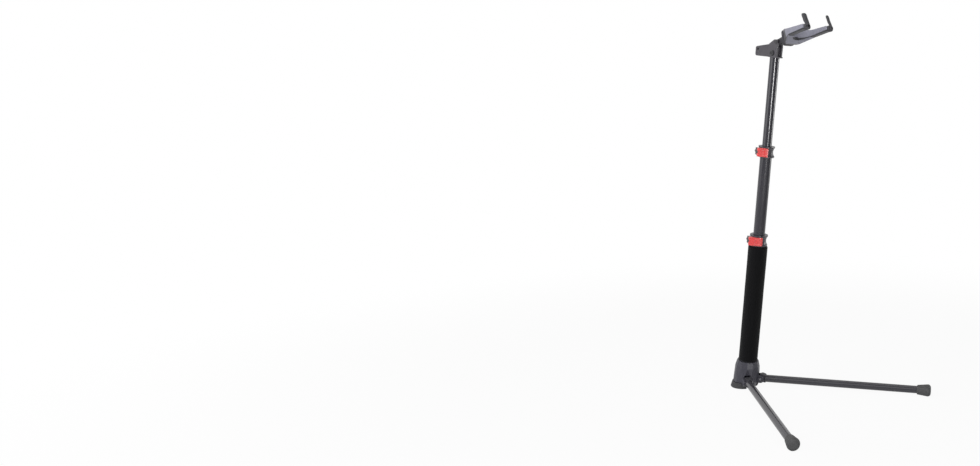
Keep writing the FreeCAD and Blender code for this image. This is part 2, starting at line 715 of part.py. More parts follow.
def cross_rod(radius, y, z, half):
    """Round bar along X, centred on the middle plane."""
    return rod(radius, V(-half, y, z), V(half, y, z))


def head_bracket():
    """Forked bracket: two cheeks, floor, front web and a spigot in the upper tube."""
    top = TILT_UP + BOSS
    profile = [(BRACKET_BACK, 0, BRACKET_CORNER), (BRACKET_BACK, BRACKET_REAR_TOP, BRACKET_BEND),
               (BOSS - TILT_AHEAD, top, BOSS), (-TILT_AHEAD - BOSS, top, BOSS - BRACKET_EDGE),
               (-BRACKET_FRONT, 0, BRACKET_CORNER)]
    bracket = rimmed(side_slab(profile, BRACKET_WIDTH), BRACKET_EDGE, X_AXIS)
    gap = CHEEK_GAP / 2
    front = -BRACKET_FRONT - CUT_PAST
    inside = box(-gap, gap, front, BRACKET_BACK + CUT_PAST, BRACKET_FLOOR, top + CUT_PAST)
    bracket = bracket.cut(inside)
    bracket = bracket.cut(box(-gap, gap, FLOOR_BACK, BRACKET_BACK + CUT_PAST, -CUT_PAST, top))
    web = WEB_SET - BRACKET_FRONT
    bracket = bracket.fuse(box(-gap, gap, web, web + WEB, BRACKET_FLOOR, WEB_TOP))
    lip = box(-BRACKET_WIDTH / 2, BRACKET_WIDTH / 2, -BRACKET_FRONT - BRACKET_LIP, 0, 0, BRACKET_FLOOR)
    bracket = bracket.fuse(lip)
    spigot_r = UPPER_OD / 2 - TUBE_WALL
    bracket = bracket.fuse(rod(spigot_r, V(0, 0, -BRACKET_SPIGOT), V(0, 0, BRACKET_FLOOR)))
    bracket = bracket.cut(cross_rod(TILT_PIN_R, -TILT_AHEAD, TILT_UP, BRACKET_WIDTH))
    bracket = bracket.cut(cross_rod(LOCK_BOLT_R, 0, LOCK_UP, BRACKET_WIDTH))
    return at_bracket(bracket.removeSplitter())


def tilt_pin():
    """Headed pin that the yoke tilts on."""
    half = BRACKET_WIDTH / 2
    pin = cross_rod(TILT_PIN_R, -TILT_AHEAD, TILT_UP, half)
    for way in (-1, 1):
        start = V(way * half, -TILT_AHEAD, TILT_UP)
        pin = pin.fuse(rod(PIN_HEAD_R, start, start + X_AXIS * (way * PIN_HEAD)))
    return at_bracket(pin)


def lock_bolt():
    """Round-headed bolt that the lock lever turns on, its head on the left cheek."""
    half = BRACKET_WIDTH / 2
    bolt = rod(LOCK_BOLT_R, V(-half, 0, LOCK_UP), V(half + NUT_THICK, 0, LOCK_UP))
    head = turned([(0, 0), (LOCK_HEAD_R, 0), (LOCK_HEAD_R, LOCK_HEAD / 2),
                   (LOCK_HEAD_R - LOCK_DOME, LOCK_HEAD), (0, LOCK_HEAD)])
    head = head.cut(hexagon(LOCK_SOCKET, LOCK_HEAD * SOCKET_DEPTH, LOCK_HEAD))
    head = put(head, placement(-half, 0, LOCK_UP, V(0, 1, 0), -90))
    return at_bracket(bolt.fuse(head))


def lock_nut():
    """Nut of the lock lever's bolt, on the right cheek."""
    flats = 2 * LOCK_HEAD_R * math.cos(math.pi / 6)
    return at_bracket(put(nut(flats, LOCK_BOLT_R), placement(BRACKET_WIDTH / 2, 0, LOCK_UP, V(0, 1, 0), 90)))


def lock_lever():
    """Lock lever: rear tongue, hub on its bolt and a shoe against the yoke's knuckle."""
    shoe = TILT_UP - SHOE_BELOW
    step = BRACKET_BACK + TONGUE_STEP
    under = LOCK_UP - TONGUE_STEP
    profile = [(-TILT_AHEAD / 2, LOCK_UP, 0), (-TILT_AHEAD / 2, shoe, 0), (TONGUE_BEND, shoe, TONGUE_BEND),
               (BRACKET_BACK, TONGUE_ROOT_TOP, BRACKET_BEND), (TONGUE_REACH, TONGUE_TOP, TONGUE_CORNER),
               (TONGUE_REACH, TONGUE_LOW, TONGUE_CORNER), (step, 0, TONGUE_BEND),
               (step - TONGUE_BEND, under, TONGUE_BEND), (LOCK_HUB_R, under, 0)]
    lever = side_slab(profile, TONGUE_WIDTH)
    lever = rimmed(lever.fuse(cross_rod(LOCK_HUB_R, 0, LOCK_UP, TONGUE_WIDTH / 2)), TONGUE_EDGE, X_AXIS)
    lever = lever.cut(cross_rod(KNUCKLE_R + SIDE_GAP, -TILT_AHEAD, TILT_UP, TONGUE_WIDTH))
    lever = lever.cut(cross_rod(LOCK_BOLT_R + RUN, 0, LOCK_UP, TONGUE_WIDTH))
    hole_back = TONGUE_REACH - 3 * TONGUE_HOLE_R
    lever = lever.cut(cross_rod(TONGUE_HOLE_R, hole_back, TONGUE_TOP - 2 * TONGUE_HOLE_R, TONGUE_WIDTH))
    return at_bracket(lever.removeSplitter())


def yoke_neck():
    """Knuckle on the tilt pin, short neck and the cone that carries the back plate."""
    low = AXIS_UP + (PLATE_TOP + PLATE_LOW) / 2
    root = KNUCKLE_R - KNUCKLE_SHY
    neck = side_slab([(0, -root, 0), (-NECK_F, low - NECK_HEIGHT / 2, 0),
                      (-NECK_F, low + NECK_HEIGHT / 2, 0), (0, root, 0)], 2 * NECK_R)
    neck = neck.fuse(cross_rod(KNUCKLE_R, 0, 0, TONGUE_WIDTH / 2))
    cone = Part.makeCone(NECK_R, CONE_R, PLATE_F - NECK_F, V(0, -NECK_F, low), FORWARD)
    neck = neck.fuse(cone)
    neck = neck.cut(cross_rod(TILT_PIN_R + RUN, 0, 0, TONGUE_WIDTH))
    for screw in plate_screw_shapes():
        neck = neck.cut(screw)
    return put(neck.removeSplitter(), YOKE)


def plate_screw_shapes():
    """Two screws through the back plate into the neck, in the yoke's frame."""
    low = AXIS_UP + (PLATE_TOP + PLATE_LOW) / 2
    face = PLATE_F + PLATE_THICK
    screws = []
    for way in (-1, 1):
        z = low + way * PLATE_SCREW_APART / 2
        shank = rod(PLATE_SCREW_R, V(0, -face, z), V(0, PLATE_SCREW_LENGTH - face, z))
        screws.append(shank.fuse(rod(PLATE_SCREW_HEAD_R, V(0, -face, z), V(0, PLATE_SCREW_HEAD - face, z))))
    return screws


def back_plate():
    """Plate behind the yoke's body, with the fork's socket."""
    half = PLATE_WIDTH / 2
    corners = [(-half, AXIS_UP + PLATE_LOW, PLATE_CORNER), (half, AXIS_UP + PLATE_LOW, PLATE_CORNER),
               (half, AXIS_UP + PLATE_TOP, PLATE_CORNER), (-half, AXIS_UP + PLATE_TOP, PLATE_CORNER)]
    plate = rimmed(front_slab(corners, PLATE_F, PLATE_F + PLATE_THICK), PLATE_EDGE, FORWARD)
    for screw in plate_screw_shapes():
        plate = plate.cut(screw)
    return put(plate.cut(fork_tenon()), YOKE)


def fork_tenon():
    """Tenon of the fork in the back plate."""
    face = PLATE_F + PLATE_THICK
    middle = AXIS_UP + (FORK_HIGH + FORK_LOW) / 2
    half = TENON_WIDTH / 2
    return box(-half, half, -face, TENON - face, middle - TENON_HEIGHT / 2, middle + TENON_HEIGHT / 2)


def drive_fork():
    """Fork that stands still inside the body: stem, round prongs and slotted tabs."""
    low = AXIS_UP + FORK_LOW
    high = AXIS_UP + FORK_HIGH
    face = PLATE_F + PLATE_THICK
    middle_r = THROAT_R + BODY_WALL + FORK_WIDTH
    stem = box(-FORK_STEM / 2, FORK_STEM / 2, middle_r - THROAT_CENTRE_F, -face, low, high)
    ring = pipe(middle_r + FORK_WIDTH / 2, middle_r - FORK_WIDTH / 2, low, high)
    ring.translate(V(0, -THROAT_CENTRE_F, 0))
    room = middle_r + FORK_WIDTH
    ring = ring.common(box(-room, room, -TAB_F - TAB, 0, low, high))
    fork = stem.fuse(ring).fuse(fork_tenon())
    pocket = V(0, -SPRING_F, high - SPRING_POCKET)
    fork = fork.cut(rod(SPRING_R + 3 * SPRING_WIRE_R, pocket, pocket + Z_AXIS * SPRING_POCKET))
    slot_half = CRANK_PIN_R + SIDE_GAP
    slot_z = AXIS_UP - DROP / 2
    inner = ARM_X + CRANK_R * math.cos(math.radians(CRANK_HALF_TURN)) - CRANK_PIN_R - SIDE_GAP
    outer = ARM_X + ARM_WIDTH / 2 - ARM_WALL - SIDE_GAP
    for name, side in SIDES:
        tab = box(middle_r - FORK_WIDTH / 2, outer, -TAB_F - TAB, -TAB_F, low, high)
        slot = box(inner, outer + CUT_PAST, -TAB_F - TAB, -TAB_F, slot_z - slot_half, slot_z + slot_half)
        tab = tab.cut(slot)
        if side < 0:
            tab = tab.mirror(V(), X_AXIS)
        fork = fork.fuse(tab)
    return put(fork.removeSplitter(), YOKE)


def level_share(f):
    """How far the yoke has come from its rear block to its arms, from 0 to 1."""
    return min(1.0, max(0.0, (f - REAR_F) / (SHOULDER_F - REAR_F)))


def top_line(f, lowered=0.0):
    """Height of the body's top at a distance forward."""
    return AXIS_UP + BODY_TOP + (ARM_TOP - BODY_TOP) * level_share(f) - lowered


def under_line(f, raised=0.0):
    """Height of the body's under side at a distance forward."""
    arm_share = max(0.0, (f - SHOULDER_F) / (ARM_F - SHOULDER_F))
    height = BODY_LOW + (ARM_LOW - BODY_LOW) * level_share(f) + (ARM_TIP_LOW - ARM_LOW) * arm_share
    return AXIS_UP + height + raised


def yoke_block():
    """Outer form of the yoke: the U seen from above, cut to its profile from the side."""
    wide = ARM_X + ARM_WIDTH / 2
    half = [(BODY_REAR_WIDTH / 2, -BODY_F, REAR_CORNER), (wide, -SHOULDER_F, SHOULDER_BEND),
            (wide, -ARM_F, ARM_CORNER), (THROAT_R, -ARM_F, ARM_CORNER), (THROAT_R, -THROAT_F, THROAT_R)]
    mirrored = [(-x, y, r) for x, y, r in reversed(half)]
    plan = plan_slab(half + mirrored, AXIS_UP + BODY_LOW - CUT_PAST, AXIS_UP + BODY_TOP + CUT_PAST)
    side = []
    stations = ((BODY_F - CUT_PAST, 0), (REAR_F, LEVEL_BEND),
                (SHOULDER_F, LEVEL_BEND), (ARM_F + CUT_PAST, 0))
    for f, bend in stations:
        side.append((-f, top_line(f), bend))
        side.insert(0, (-f, under_line(f), bend))
    return rimmed(plan.common(side_slab(side, 2 * wide + CUT_PAST)), BODY_EDGE, Z_AXIS)


def rear_room():
    """Space behind the front of the rear block."""
    wide = 4 * ARM_X
    return box(-wide, wide, -REAR_F, 0, -wide, wide)


def cover_room():
    """Layer along the under side that belongs to the cover."""
    deep = AXIS_UP + BODY_LOW - CUT_PAST
    side = [(-REAR_F, under_line(REAR_F, COVER), 0), (-SHOULDER_F, under_line(SHOULDER_F, COVER), LEVEL_BEND),
            (-COVER_F, under_line(COVER_F, COVER), 0), (-COVER_F, deep, 0), (-REAR_F, deep, 0)]
    return side_slab(side, 4 * ARM_X)


def body_cavity():
    """Hollow for the fork and the cranks, open to the cover."""
    deep = AXIS_UP + BODY_LOW - CUT_PAST
    high = AXIS_UP + BODY_TOP
    middle_r = THROAT_R + BODY_WALL + FORK_WIDTH
    ring = pipe(middle_r + FORK_WIDTH, THROAT_R + BODY_WALL, deep, high)
    ring.translate(V(0, -THROAT_CENTRE_F, 0))
    room = 2 * middle_r
    ring = ring.common(box(-room, room, -POCKET_F, 0, deep, high))
    stem = FORK_STEM / 2 + FORK_WIDTH
    hollow = ring.fuse(box(-stem, stem, BODY_WALL - THROAT_F, -REAR_F, deep, high))
    for name, side in SIDES:
        x0 = side * (THROAT_R + BODY_WALL)
        x1 = side * (ARM_X + ARM_WIDTH / 2 - ARM_WALL)
        hollow = hollow.fuse(box(min(x0, x1), max(x0, x1), -POCKET_F, 2 * FORK_WIDTH - TAB_F, deep, high))
    roof = [(-REAR_F, top_line(REAR_F, TOP_WALL), 0), (-SHOULDER_F, top_line(SHOULDER_F, TOP_WALL), LEVEL_BEND),
            (-ARM_F, top_line(ARM_F, TOP_WALL), 0), (-ARM_F, deep, 0), (-REAR_F, deep, 0)]
    return hollow.common(side_slab(roof, 4 * ARM_X))


def cover_screw_shapes():
    """Screws from below through the cover into the arms, in the yoke's frame."""
    screws = []
    foot = under_line(COVER_SCREW_F)
    for name, side in SIDES:
        start = V(side * (ARM_X + COVER_SCREW_OUT), -COVER_SCREW_F, foot + COVER_SCREW_SINK)
        head = rod(COVER_SCREW_HEAD_R, start, start + Z_AXIS * COVER_SCREW_HEAD)
        screws.append(head.fuse(rod(COVER_SCREW_R, start, start + Z_AXIS * COVER_SCREW_LENGTH)))
    return screws


def yoke_rear():
    """Rear block of the yoke with the fork's window."""
    half = FORK_STEM / 2 + SIDE_GAP
    low = AXIS_UP + FORK_LOW - SIDE_GAP
    high = AXIS_UP + FORK_HIGH + DROP + SIDE_GAP
    rear = yoke_block().common(rear_room())
    return put(rear.cut(box(-half, half, -REAR_F, 0, low, high)).removeSplitter(), YOKE)


def yoke_body():
    """U-shaped body of the yoke with its hollow and the shaft bores."""
    body = yoke_block().cut(rear_room()).cut(cover_room()).cut(body_cavity())
    for name, side in SIDES:
        x = side * ARM_X
        body = body.cut(rod(SHAFT_R + RUN, V(x, -CRANK_F, AXIS_UP), V(x, -ARM_F - CUT_PAST, AXIS_UP)))
    for screw in cover_screw_shapes():
        body = body.cut(screw)
    return put(body.removeSplitter(), YOKE)


def yoke_cover():
    """Cover under the body."""
    cover = yoke_block().common(cover_room())
    for screw in cover_screw_shapes():
        cover = cover.cut(screw)
    low = under_line(COVER_SCREW_F) + COVER_SCREW_SINK
    for name, side in SIDES:
        mouth = V(side * (ARM_X + COVER_SCREW_OUT), -COVER_SCREW_F, low)
        cover = cover.cut(rod(COVER_SCREW_HEAD_R, mouth - Z_AXIS * COVER, mouth))
    return put(cover.removeSplitter(), YOKE)


def finger_shaft(side):
    """Shaft of a finger with its crank and crank pin."""
    x = side * ARM_X
    turn = math.radians(CRANK_HALF_TURN)
    pin_x = x + side * CRANK_R * math.cos(turn)
    pin_z = AXIS_UP - CRANK_R * math.sin(turn)
    front = CRANK_F + CRANK_THICK
    shaft = rod(SHAFT_R, V(x, -CRANK_F, AXIS_UP), V(x, -FINGER_F - SHAFT_INTO_FINGER, AXIS_UP))
    shaft = shaft.fuse(rod(CRANK_HUB_R, V(x, -CRANK_F, AXIS_UP), V(x, -front, AXIS_UP)))
    shaft = shaft.fuse(rod(CRANK_EYE_R, V(pin_x, -CRANK_F, pin_z), V(pin_x, -front, pin_z)))
    web = box(0, CRANK_R, -front, -CRANK_F, -CRANK_EYE_R, CRANK_EYE_R)
    angle = CRANK_HALF_TURN if side > 0 else 180 - CRANK_HALF_TURN
    shaft = shaft.fuse(put(web, placement(x, 0, AXIS_UP, V(0, 1, 0), angle)))
    shaft = shaft.fuse(rod(CRANK_PIN_R, V(pin_x, -front, pin_z), V(pin_x, -TAB_F, pin_z)))
    shaft = shaft.cut(finger_screw_shape(side))
    return put(shaft.removeSplitter(), YOKE)


def finger_screw_shape(side):
    """Screw that holds a finger on its shaft, in the yoke's frame."""
    face = V(side * ARM_X, FINGER_SCREW_SINK - FINGER_F - FINGER_THICK, AXIS_UP)
    screw = rod(FINGER_SCREW_R, face, face - FORWARD * FINGER_SCREW_LENGTH)
    return screw.fuse(rod(FINGER_SCREW_HEAD_R, face, face - FORWARD * FINGER_SCREW_HEAD))


def finger_screw(side):
    """The same screw with its hexagon socket."""
    face = FINGER_F + FINGER_THICK - FINGER_SCREW_SINK
    socket = hexagon(FINGER_SOCKET, face - FINGER_SCREW_HEAD * SOCKET_DEPTH, face)
    socket = put(socket, placement(side * ARM_X, 0, AXIS_UP, X_AXIS, 90))
    return put(finger_screw_shape(side).cut(socket), YOKE)


def blade_section(height, back, share, side):
    """Oval of a finger's blade at a height, set back and shrunk by a share."""
    oval = Part.Ellipse(V(), FINGER_WIDE / 2 * share, FINGER_DEEP / 2 * share).toShape()
    place = placement(0, back - FINGER_F - FINGER_AHEAD, height, Z_AXIS, side * FINGER_TURN)
    return put(Part.Wire(oval), place)


def finger(side):
    """Finger: round hub on the shaft and an oval blade that rises and leans back."""
    full = FINGER_UP - FINGER_ROUND
    rising = [(0, 1), (full / 2, 1), (full, 1), (FINGER_UP - FINGER_ROUND / 3, FINGER_NEAR_TIP),
              (FINGER_UP, FINGER_TIP)]
    stations = [(-FINGER_DOWN, 0, FINGER_TIP), (-FINGER_DOWN / 2, 0, 1)]
    stations += [(height, FINGER_LEAN * height / FINGER_UP, share) for height, share in rising]
    blade = Part.makeLoft([blade_section(*station, side) for station in stations], True, False)
    hub = turned([(0, 0), (FINGER_HUB_R, 0), (FINGER_HUB_R, FINGER_THICK - FINGER_EDGE),
                  (FINGER_HUB_R - FINGER_EDGE, FINGER_THICK), (0, FINGER_THICK)])
    shape = blade.fuse(put(hub, placement(0, -FINGER_F, 0, X_AXIS, 90)))
    shape.translate(V(side * ARM_X, 0, AXIS_UP))
    bore_end = V(side * ARM_X, -FINGER_F - SHAFT_INTO_FINGER, AXIS_UP)
    shape = shape.cut(rod(SHAFT_R, V(side * ARM_X, -ARM_F, AXIS_UP), bore_end))
    shape = shape.cut(finger_screw_shape(side))
    mouth = V(side * ARM_X, FINGER_SCREW_SINK - FINGER_F - FINGER_THICK, AXIS_UP)
    shape = shape.cut(rod(FINGER_SCREW_HEAD_R, mouth, mouth + FORWARD * CUT_PAST))
    return put(shape.removeSplitter(), YOKE)


def return_spring():
    """Spring between the fork's stem and the roof of the body, lifting the body."""
    foot = AXIS_UP + FORK_HIGH - SPRING_POCKET
    length = top_line(SPRING_F + SPRING_R, TOP_WALL) - foot - 2 * SOFT_GAP
    spring = coil(SPRING_R, SPRING_WIRE_R, length, SPRING_TURNS)
    return put(spring, YOKE.multiply(placement(0, -SPRING_F, foot + SOFT_GAP)))


def parts():
    """Every piece of the stand, by the name of its node."""
    made = {
        "base_boot": base_boot(),
        "base_foot": base_foot(),
        "base_plug": base_plug(),
        "base_screw": base_screw(),
        "leg_pins": Part.makeCompound([put(leg_pin(), leg_plane(side)) for name, side in SIDES]),
        "lower_tube": lower_tube(),
        "foam_grip": foam_grip(),
        "mid_tube": sliding_tube(MID_OD, UPPER_CLAMP + TUBE_END, MID_LENGTH),
        "mid_bushing": bushing(MID_OD, LOWER_OD, UPPER_CLAMP + TUBE_END - MID_LENGTH),
        "upper_tube": sliding_tube(UPPER_OD, BRACKET_AT, UPPER_LENGTH),
        "upper_bushing": bushing(UPPER_OD, MID_OD, BRACKET_AT - UPPER_LENGTH),
        "head_bracket": head_bracket(),
        "tilt_pin": tilt_pin(),
        "lock_bolt": lock_bolt(),
        "lock_nut": lock_nut(),
        "lock_lever": lock_lever(),
        "yoke_neck": yoke_neck(),
        "back_plate": back_plate(),
        "plate_screws": put(Part.makeCompound(plate_screw_shapes()), YOKE),
        "drive_fork": drive_fork(),
        "yoke_rear": yoke_rear(),
        "yoke_body": yoke_body(),
        "yoke_cover": yoke_cover(),
        "cover_screws": put(Part.makeCompound(cover_screw_shapes()), YOKE),
        "return_spring": return_spring(),
    }
    clamps = (("lower", LOWER_OD, MID_OD, LOWER_CLAMP, LOWER_LEVER_TO),
              ("upper", MID_OD, UPPER_OD, UPPER_CLAMP, UPPER_LEVER_TO))
    for name, od, inner_od, centre, handle_to in clamps:
        made[name + "_collar"] = collar(od, inner_od, centre)
        made[name + "_clamp_bolt"] = clamp_bolt(od, centre)
        made[name + "_clamp_nut"] = clamp_nut(od, centre)
        made[name + "_lever"] = flip_lever(od, centre, handle_to)
        made[name + "_lever_pin"] = cam_pin(od, centre)
    for name, side in SIDES:
        made[name + "_leg_root"] = leg_root(side)
        made[name + "_leg_tube"] = leg_tube(side)
        made[name + "_leg_rivet"] = leg_rivet(side)
        made[name + "_leg_cap"] = leg_cap(side)
        made[name + "_finger"] = finger(side)
        made[name + "_finger_shaft"] = finger_shaft(side)
        made[name + "_finger_screw"] = finger_screw(side)
    return made


os.makedirs("parts", exist_ok=True)
for node, shape in parts().items():
    shape.exportStep("parts/%s.step" % node)
    state = "valid" if shape.isValid() else "invalid"
    print(node, len(shape.Solids), "solids", round(shape.Volume, 1), "mm3", state)
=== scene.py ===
import json
import logging
import math
from dataclasses import dataclass, field
from enum import Enum
from typing import Dict, List, Optional, Sequence, Tuple

import bpy
import numpy as np
from mathutils import Matrix, Vector


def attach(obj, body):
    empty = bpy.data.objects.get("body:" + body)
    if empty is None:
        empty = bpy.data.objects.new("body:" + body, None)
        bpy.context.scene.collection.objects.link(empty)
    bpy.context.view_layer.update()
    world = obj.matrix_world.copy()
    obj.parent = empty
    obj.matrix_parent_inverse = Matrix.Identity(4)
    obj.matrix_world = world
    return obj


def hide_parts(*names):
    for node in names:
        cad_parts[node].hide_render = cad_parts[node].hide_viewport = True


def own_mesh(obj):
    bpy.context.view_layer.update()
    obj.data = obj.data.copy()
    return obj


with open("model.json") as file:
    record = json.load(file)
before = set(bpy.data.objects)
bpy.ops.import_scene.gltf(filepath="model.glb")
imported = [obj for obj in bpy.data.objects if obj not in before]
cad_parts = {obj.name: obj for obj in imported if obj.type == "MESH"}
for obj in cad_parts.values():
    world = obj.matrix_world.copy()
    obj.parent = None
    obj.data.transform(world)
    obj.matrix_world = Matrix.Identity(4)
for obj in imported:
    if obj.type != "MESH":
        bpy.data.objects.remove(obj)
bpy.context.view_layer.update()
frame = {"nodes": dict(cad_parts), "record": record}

LOG = logging.getLogger("guitar_stand")
MM = 0.001
FULL_TURN = 2 * math.pi
YOKE_PIN = (-147.5, 923.91)   # y and z of the pin that the yoke tilts on, in millimetres
YOKE_TILT = 8.6               # how far the yoke looks up at rest, in degrees

Colour = Tuple[float, float, float]
Triple = Tuple[float, float, float]
Pair = Tuple[float, float]
Socket = bpy.types.NodeSocket


class Grain(Enum):
    """Kinds of fine surface that a finish can have."""

    MOULDED = "spark-eroded mould grain"
    PAINT = "orange peel of sprayed paint"
    RUBBER = "matt rubber skin"
    FOAM = "open cells of cut foam"
    DRAWN = "fine lines along a drawn or plated part"


class NodeDesk:
    """Places and joins the nodes of one shader tree."""

    MIX_SHARE = 0                            # sockets of a Mix node that mixes colours
    MIX_LOW = 6
    MIX_HIGH = 7
    MIX_RESULT = 2

    def __init__(self, tree: bpy.types.NodeTree) -> None:
        """Start on a tree."""
        self.tree = tree

    def add(self, kind: str, **settings: object) -> bpy.types.Node:
        """Add a node.

        Args:
            kind: Blender's name of the node type.
            settings: Properties of the node, or values of its input sockets by name.

        Returns:
            The new node.
        """
        node = self.tree.nodes.new(kind)
        for key, value in settings.items():
            if hasattr(node, key):
                setattr(node, key, value)
            else:
                node.inputs[key.replace("_", " ").title()].default_value = value
        return node

    def join(self, start: Socket, end: Socket) -> None:
        """Link an output to an input."""
        self.tree.links.new(start, end)

    def place(self) -> Socket:
        """Coordinates of the surface in the piece's own frame."""
        return self.add("ShaderNodeTexCoord").outputs["Object"]

    def sums(self, operation: str, *terms: object) -> Socket:
        """Work out a value.

        Args:
            operation: Name of the Math node's operation.
            terms: Sockets or plain numbers.

        Returns:
            The socket that holds the result.
        """
        node = self.add("ShaderNodeMath", operation=operation)
        for i, term in enumerate(terms):
            if isinstance(term, (int, float)):
                node.inputs[i].default_value = term
            else:
                self.join(term, node.inputs[i])
        return node.outputs[0]

    def weighed(self, first: Socket, first_share: float, second: Socket, second_share: float) -> Socket:
        """Add two values, each by its own share.

        Args:
            first: First value.
            first_share: What the first value is multiplied by.
            second: Second value.
            second_share: What the second value is multiplied by.

        Returns:
            The sum's socket.
        """
        rest = self.sums("MULTIPLY", second, second_share)
        return self.sums("ADD", self.sums("MULTIPLY", first, first_share), rest)

    def span(self, value: Socket, source: Pair, result: Pair = (0.0, 1.0), smooth: bool = False) -> Socket:
        """Map a range of values to another range and hold the ends.

        Args:
            value: The value's socket.
            source: Where the range starts and ends.
            result: What the start and the end become.
            smooth: Whether the change eases in and out.

        Returns:
            The mapped value's socket.
        """
        node = self.add("ShaderNodeMapRange", interpolation_type="SMOOTHSTEP" if smooth else "LINEAR")
        self.join(value, node.inputs["Value"])
        node.inputs["From Min"].default_value, node.inputs["From Max"].default_value = source
        node.inputs["To Min"].default_value, node.inputs["To Max"].default_value = result
        return node.outputs["Result"]

    def noise(self, vector: Socket, detail: float, scale: object) -> Socket:
        """Cloudy noise.

        Args:
            vector: Coordinates it lies in.
            detail: Octaves of finer noise.
            scale: Clouds to the metre, a socket or a plain number.

        Returns:
            The noise's socket.
        """
        node = self.add("ShaderNodeTexNoise", detail=detail)
        self.join(vector, node.inputs["Vector"])
        if isinstance(scale, float):
            node.inputs["Scale"].default_value = scale
        else:
            self.join(scale, node.inputs["Scale"])
        return node.outputs["Fac"]

    def mix(self, share: Socket, low: object, high: object) -> Socket:
        """Mix two colours, each a socket or a plain colour, by a share.

        Args:
            share: How much of the second colour.
            low: First colour.
            high: Second colour.

        Returns:
            The mixed colour's socket.
        """
        node = self.add("ShaderNodeMix", data_type="RGBA")
        self.join(share, node.inputs[self.MIX_SHARE])
        for entry, value in ((self.MIX_LOW, low), (self.MIX_HIGH, high)):
            if isinstance(value, tuple):
                node.inputs[entry].default_value = (*value, 1.0)
            else:
                self.join(value, node.inputs[entry])
        return node.outputs[self.MIX_RESULT]


@dataclass(frozen=True)
class PaintedReflectionSplit:
    """Where the yoke's grey, a painted reflection, gives way to its dark rubber: at the rear, and below a
    line on the undersides as painted shade.

    The lines lie in the yoke's own frame: ahead counts from the tilt pin, height from the fingers' shafts.
    Lengths are in millimetres. A line is its height at the pin and its rise for each millimetre ahead; the
    rear's end is its place at the shafts' height and its change for each millimetre up.
    """

    # The dark rubber's tone, shown at the rear and as painted shade on the undersides.
    dark: Colour = (0.030, 0.030, 0.035)
    shaft_height: float = 8.4
    rear_end: Pair = (57.0, -0.5)
    # Line under which the undersides get painted shade.
    painted_shade_line: Pair = (-16.07, 0.1065)
    # Under this line and short of cover_end, the shoulder keeps the grey painted reflection.
    cover_line: Pair = (-36.0, 0.336)
    cover_end: float = 80.0
    blur: float = 0.4

    def mask(self, desk: NodeDesk) -> Socket:
        """Share of dark rubber: the rear, and painted shade on all below the shade line but for the cover's
        shoulder, which keeps the grey painted reflection.

        Args:
            desk: Desk of the material's tree.

        Returns:
            The share's socket.
        """
        turn = desk.add("ShaderNodeMapping", vector_type="TEXTURE")
        turn.inputs["Location"].default_value = (0.0, YOKE_PIN[0] * MM, YOKE_PIN[1] * MM)
        turn.inputs["Rotation"].default_value = (-math.radians(YOKE_TILT), 0.0, 0.0)
        turn.inputs["Scale"].default_value = (MM, MM, MM)
        desk.join(desk.place(), turn.inputs["Vector"])
        parts = desk.add("ShaderNodeSeparateXYZ")
        desk.join(turn.outputs["Vector"], parts.inputs["Vector"])
        ahead = desk.sums("MULTIPLY", parts.outputs["Y"], -1.0)
        height = desk.sums("SUBTRACT", parts.outputs["Z"], self.shaft_height)

        def past(high: object, low: object) -> Socket:
            """Share of what has the first value over the second."""
            return desk.span(desk.sums("SUBTRACT", high, low), (-self.blur, self.blur))

        def below(line: Pair) -> Socket:
            """Share of what lies under a line."""
            return past(desk.sums("MULTIPLY_ADD", ahead, line[1], line[0]), height)

        rear = past(desk.sums("MULTIPLY_ADD", height, self.rear_end[1], self.rear_end[0]), ahead)
        cover = desk.sums("MULTIPLY", below(self.cover_line), past(self.cover_end, ahead))
        # Dark rear and painted shade below the line; the shoulder keeps the painted reflection.
        dark_rear_and_painted_shade = desk.sums("MAXIMUM", rear, below(self.painted_shade_line))
        return desk.sums("MULTIPLY", dark_rear_and_painted_shade, desk.sums("SUBTRACT", 1.0, cover))


@dataclass(frozen=True)
class Finish:
    """One finish: its tones, gloss, grain, its lighter edges (rubbing, and on the red lever a painted
    highlight) and the dust on its upper faces.

    Tones are linear colours. The rough pair is the least and greatest roughness. Grain size and
    depth are in millimetres, and so is the radius that softens the edges.
    """

    name: str
    dark: Colour
    light: Colour
    rough: Pair
    grain: Grain
    grain_size: float
    grain_depth: float
    edge_tone: Colour
    edge_share: float = 0.35
    edge_radius: float = 0.6
    dust_share: float = 0.06
    metallic: float = 0.0
    specular: float = 0.5
    coat: float = 0.0
    coat_rough: float = 0.2
    sheen: float = 0.0
    split: Optional[PaintedReflectionSplit] = None


TUBE_PAINT = Finish(
    "tube_paint", (0.021, 0.020, 0.026), (0.033, 0.032, 0.040), (0.13, 0.21), Grain.PAINT, 0.9, 0.015,
    (0.10, 0.10, 0.11), edge_share=0.4)
FOAM = Finish(
    "foam", (0.0018, 0.0018, 0.0022), (0.0050, 0.0050, 0.0058), (0.88, 0.98), Grain.FOAM, 0.9, 0.14,
    (0.007, 0.007, 0.008), edge_share=0.3, dust_share=0.012, specular=0.10, sheen=0.10)
BOOT_PLASTIC = Finish(
    "boot_plastic", (0.031, 0.030, 0.040), (0.047, 0.046, 0.060), (0.36, 0.48), Grain.MOULDED, 0.45, 0.03,
    (0.14, 0.14, 0.16), edge_share=0.5, edge_radius=1.2, specular=0.36)
FOOT_RUBBER = Finish(
    "foot_rubber", (0.030, 0.030, 0.032), (0.045, 0.045, 0.047), (0.66, 0.82), Grain.RUBBER, 0.6, 0.03,
    (0.09, 0.09, 0.09), edge_radius=1.2, dust_share=0.12)
CAP_RUBBER = Finish(
    "cap_rubber", (0.040, 0.040, 0.042), (0.060, 0.060, 0.062), (0.62, 0.80), Grain.RUBBER, 0.6, 0.03,
    (0.11, 0.11, 0.11), edge_radius=1.2, dust_share=0.12)
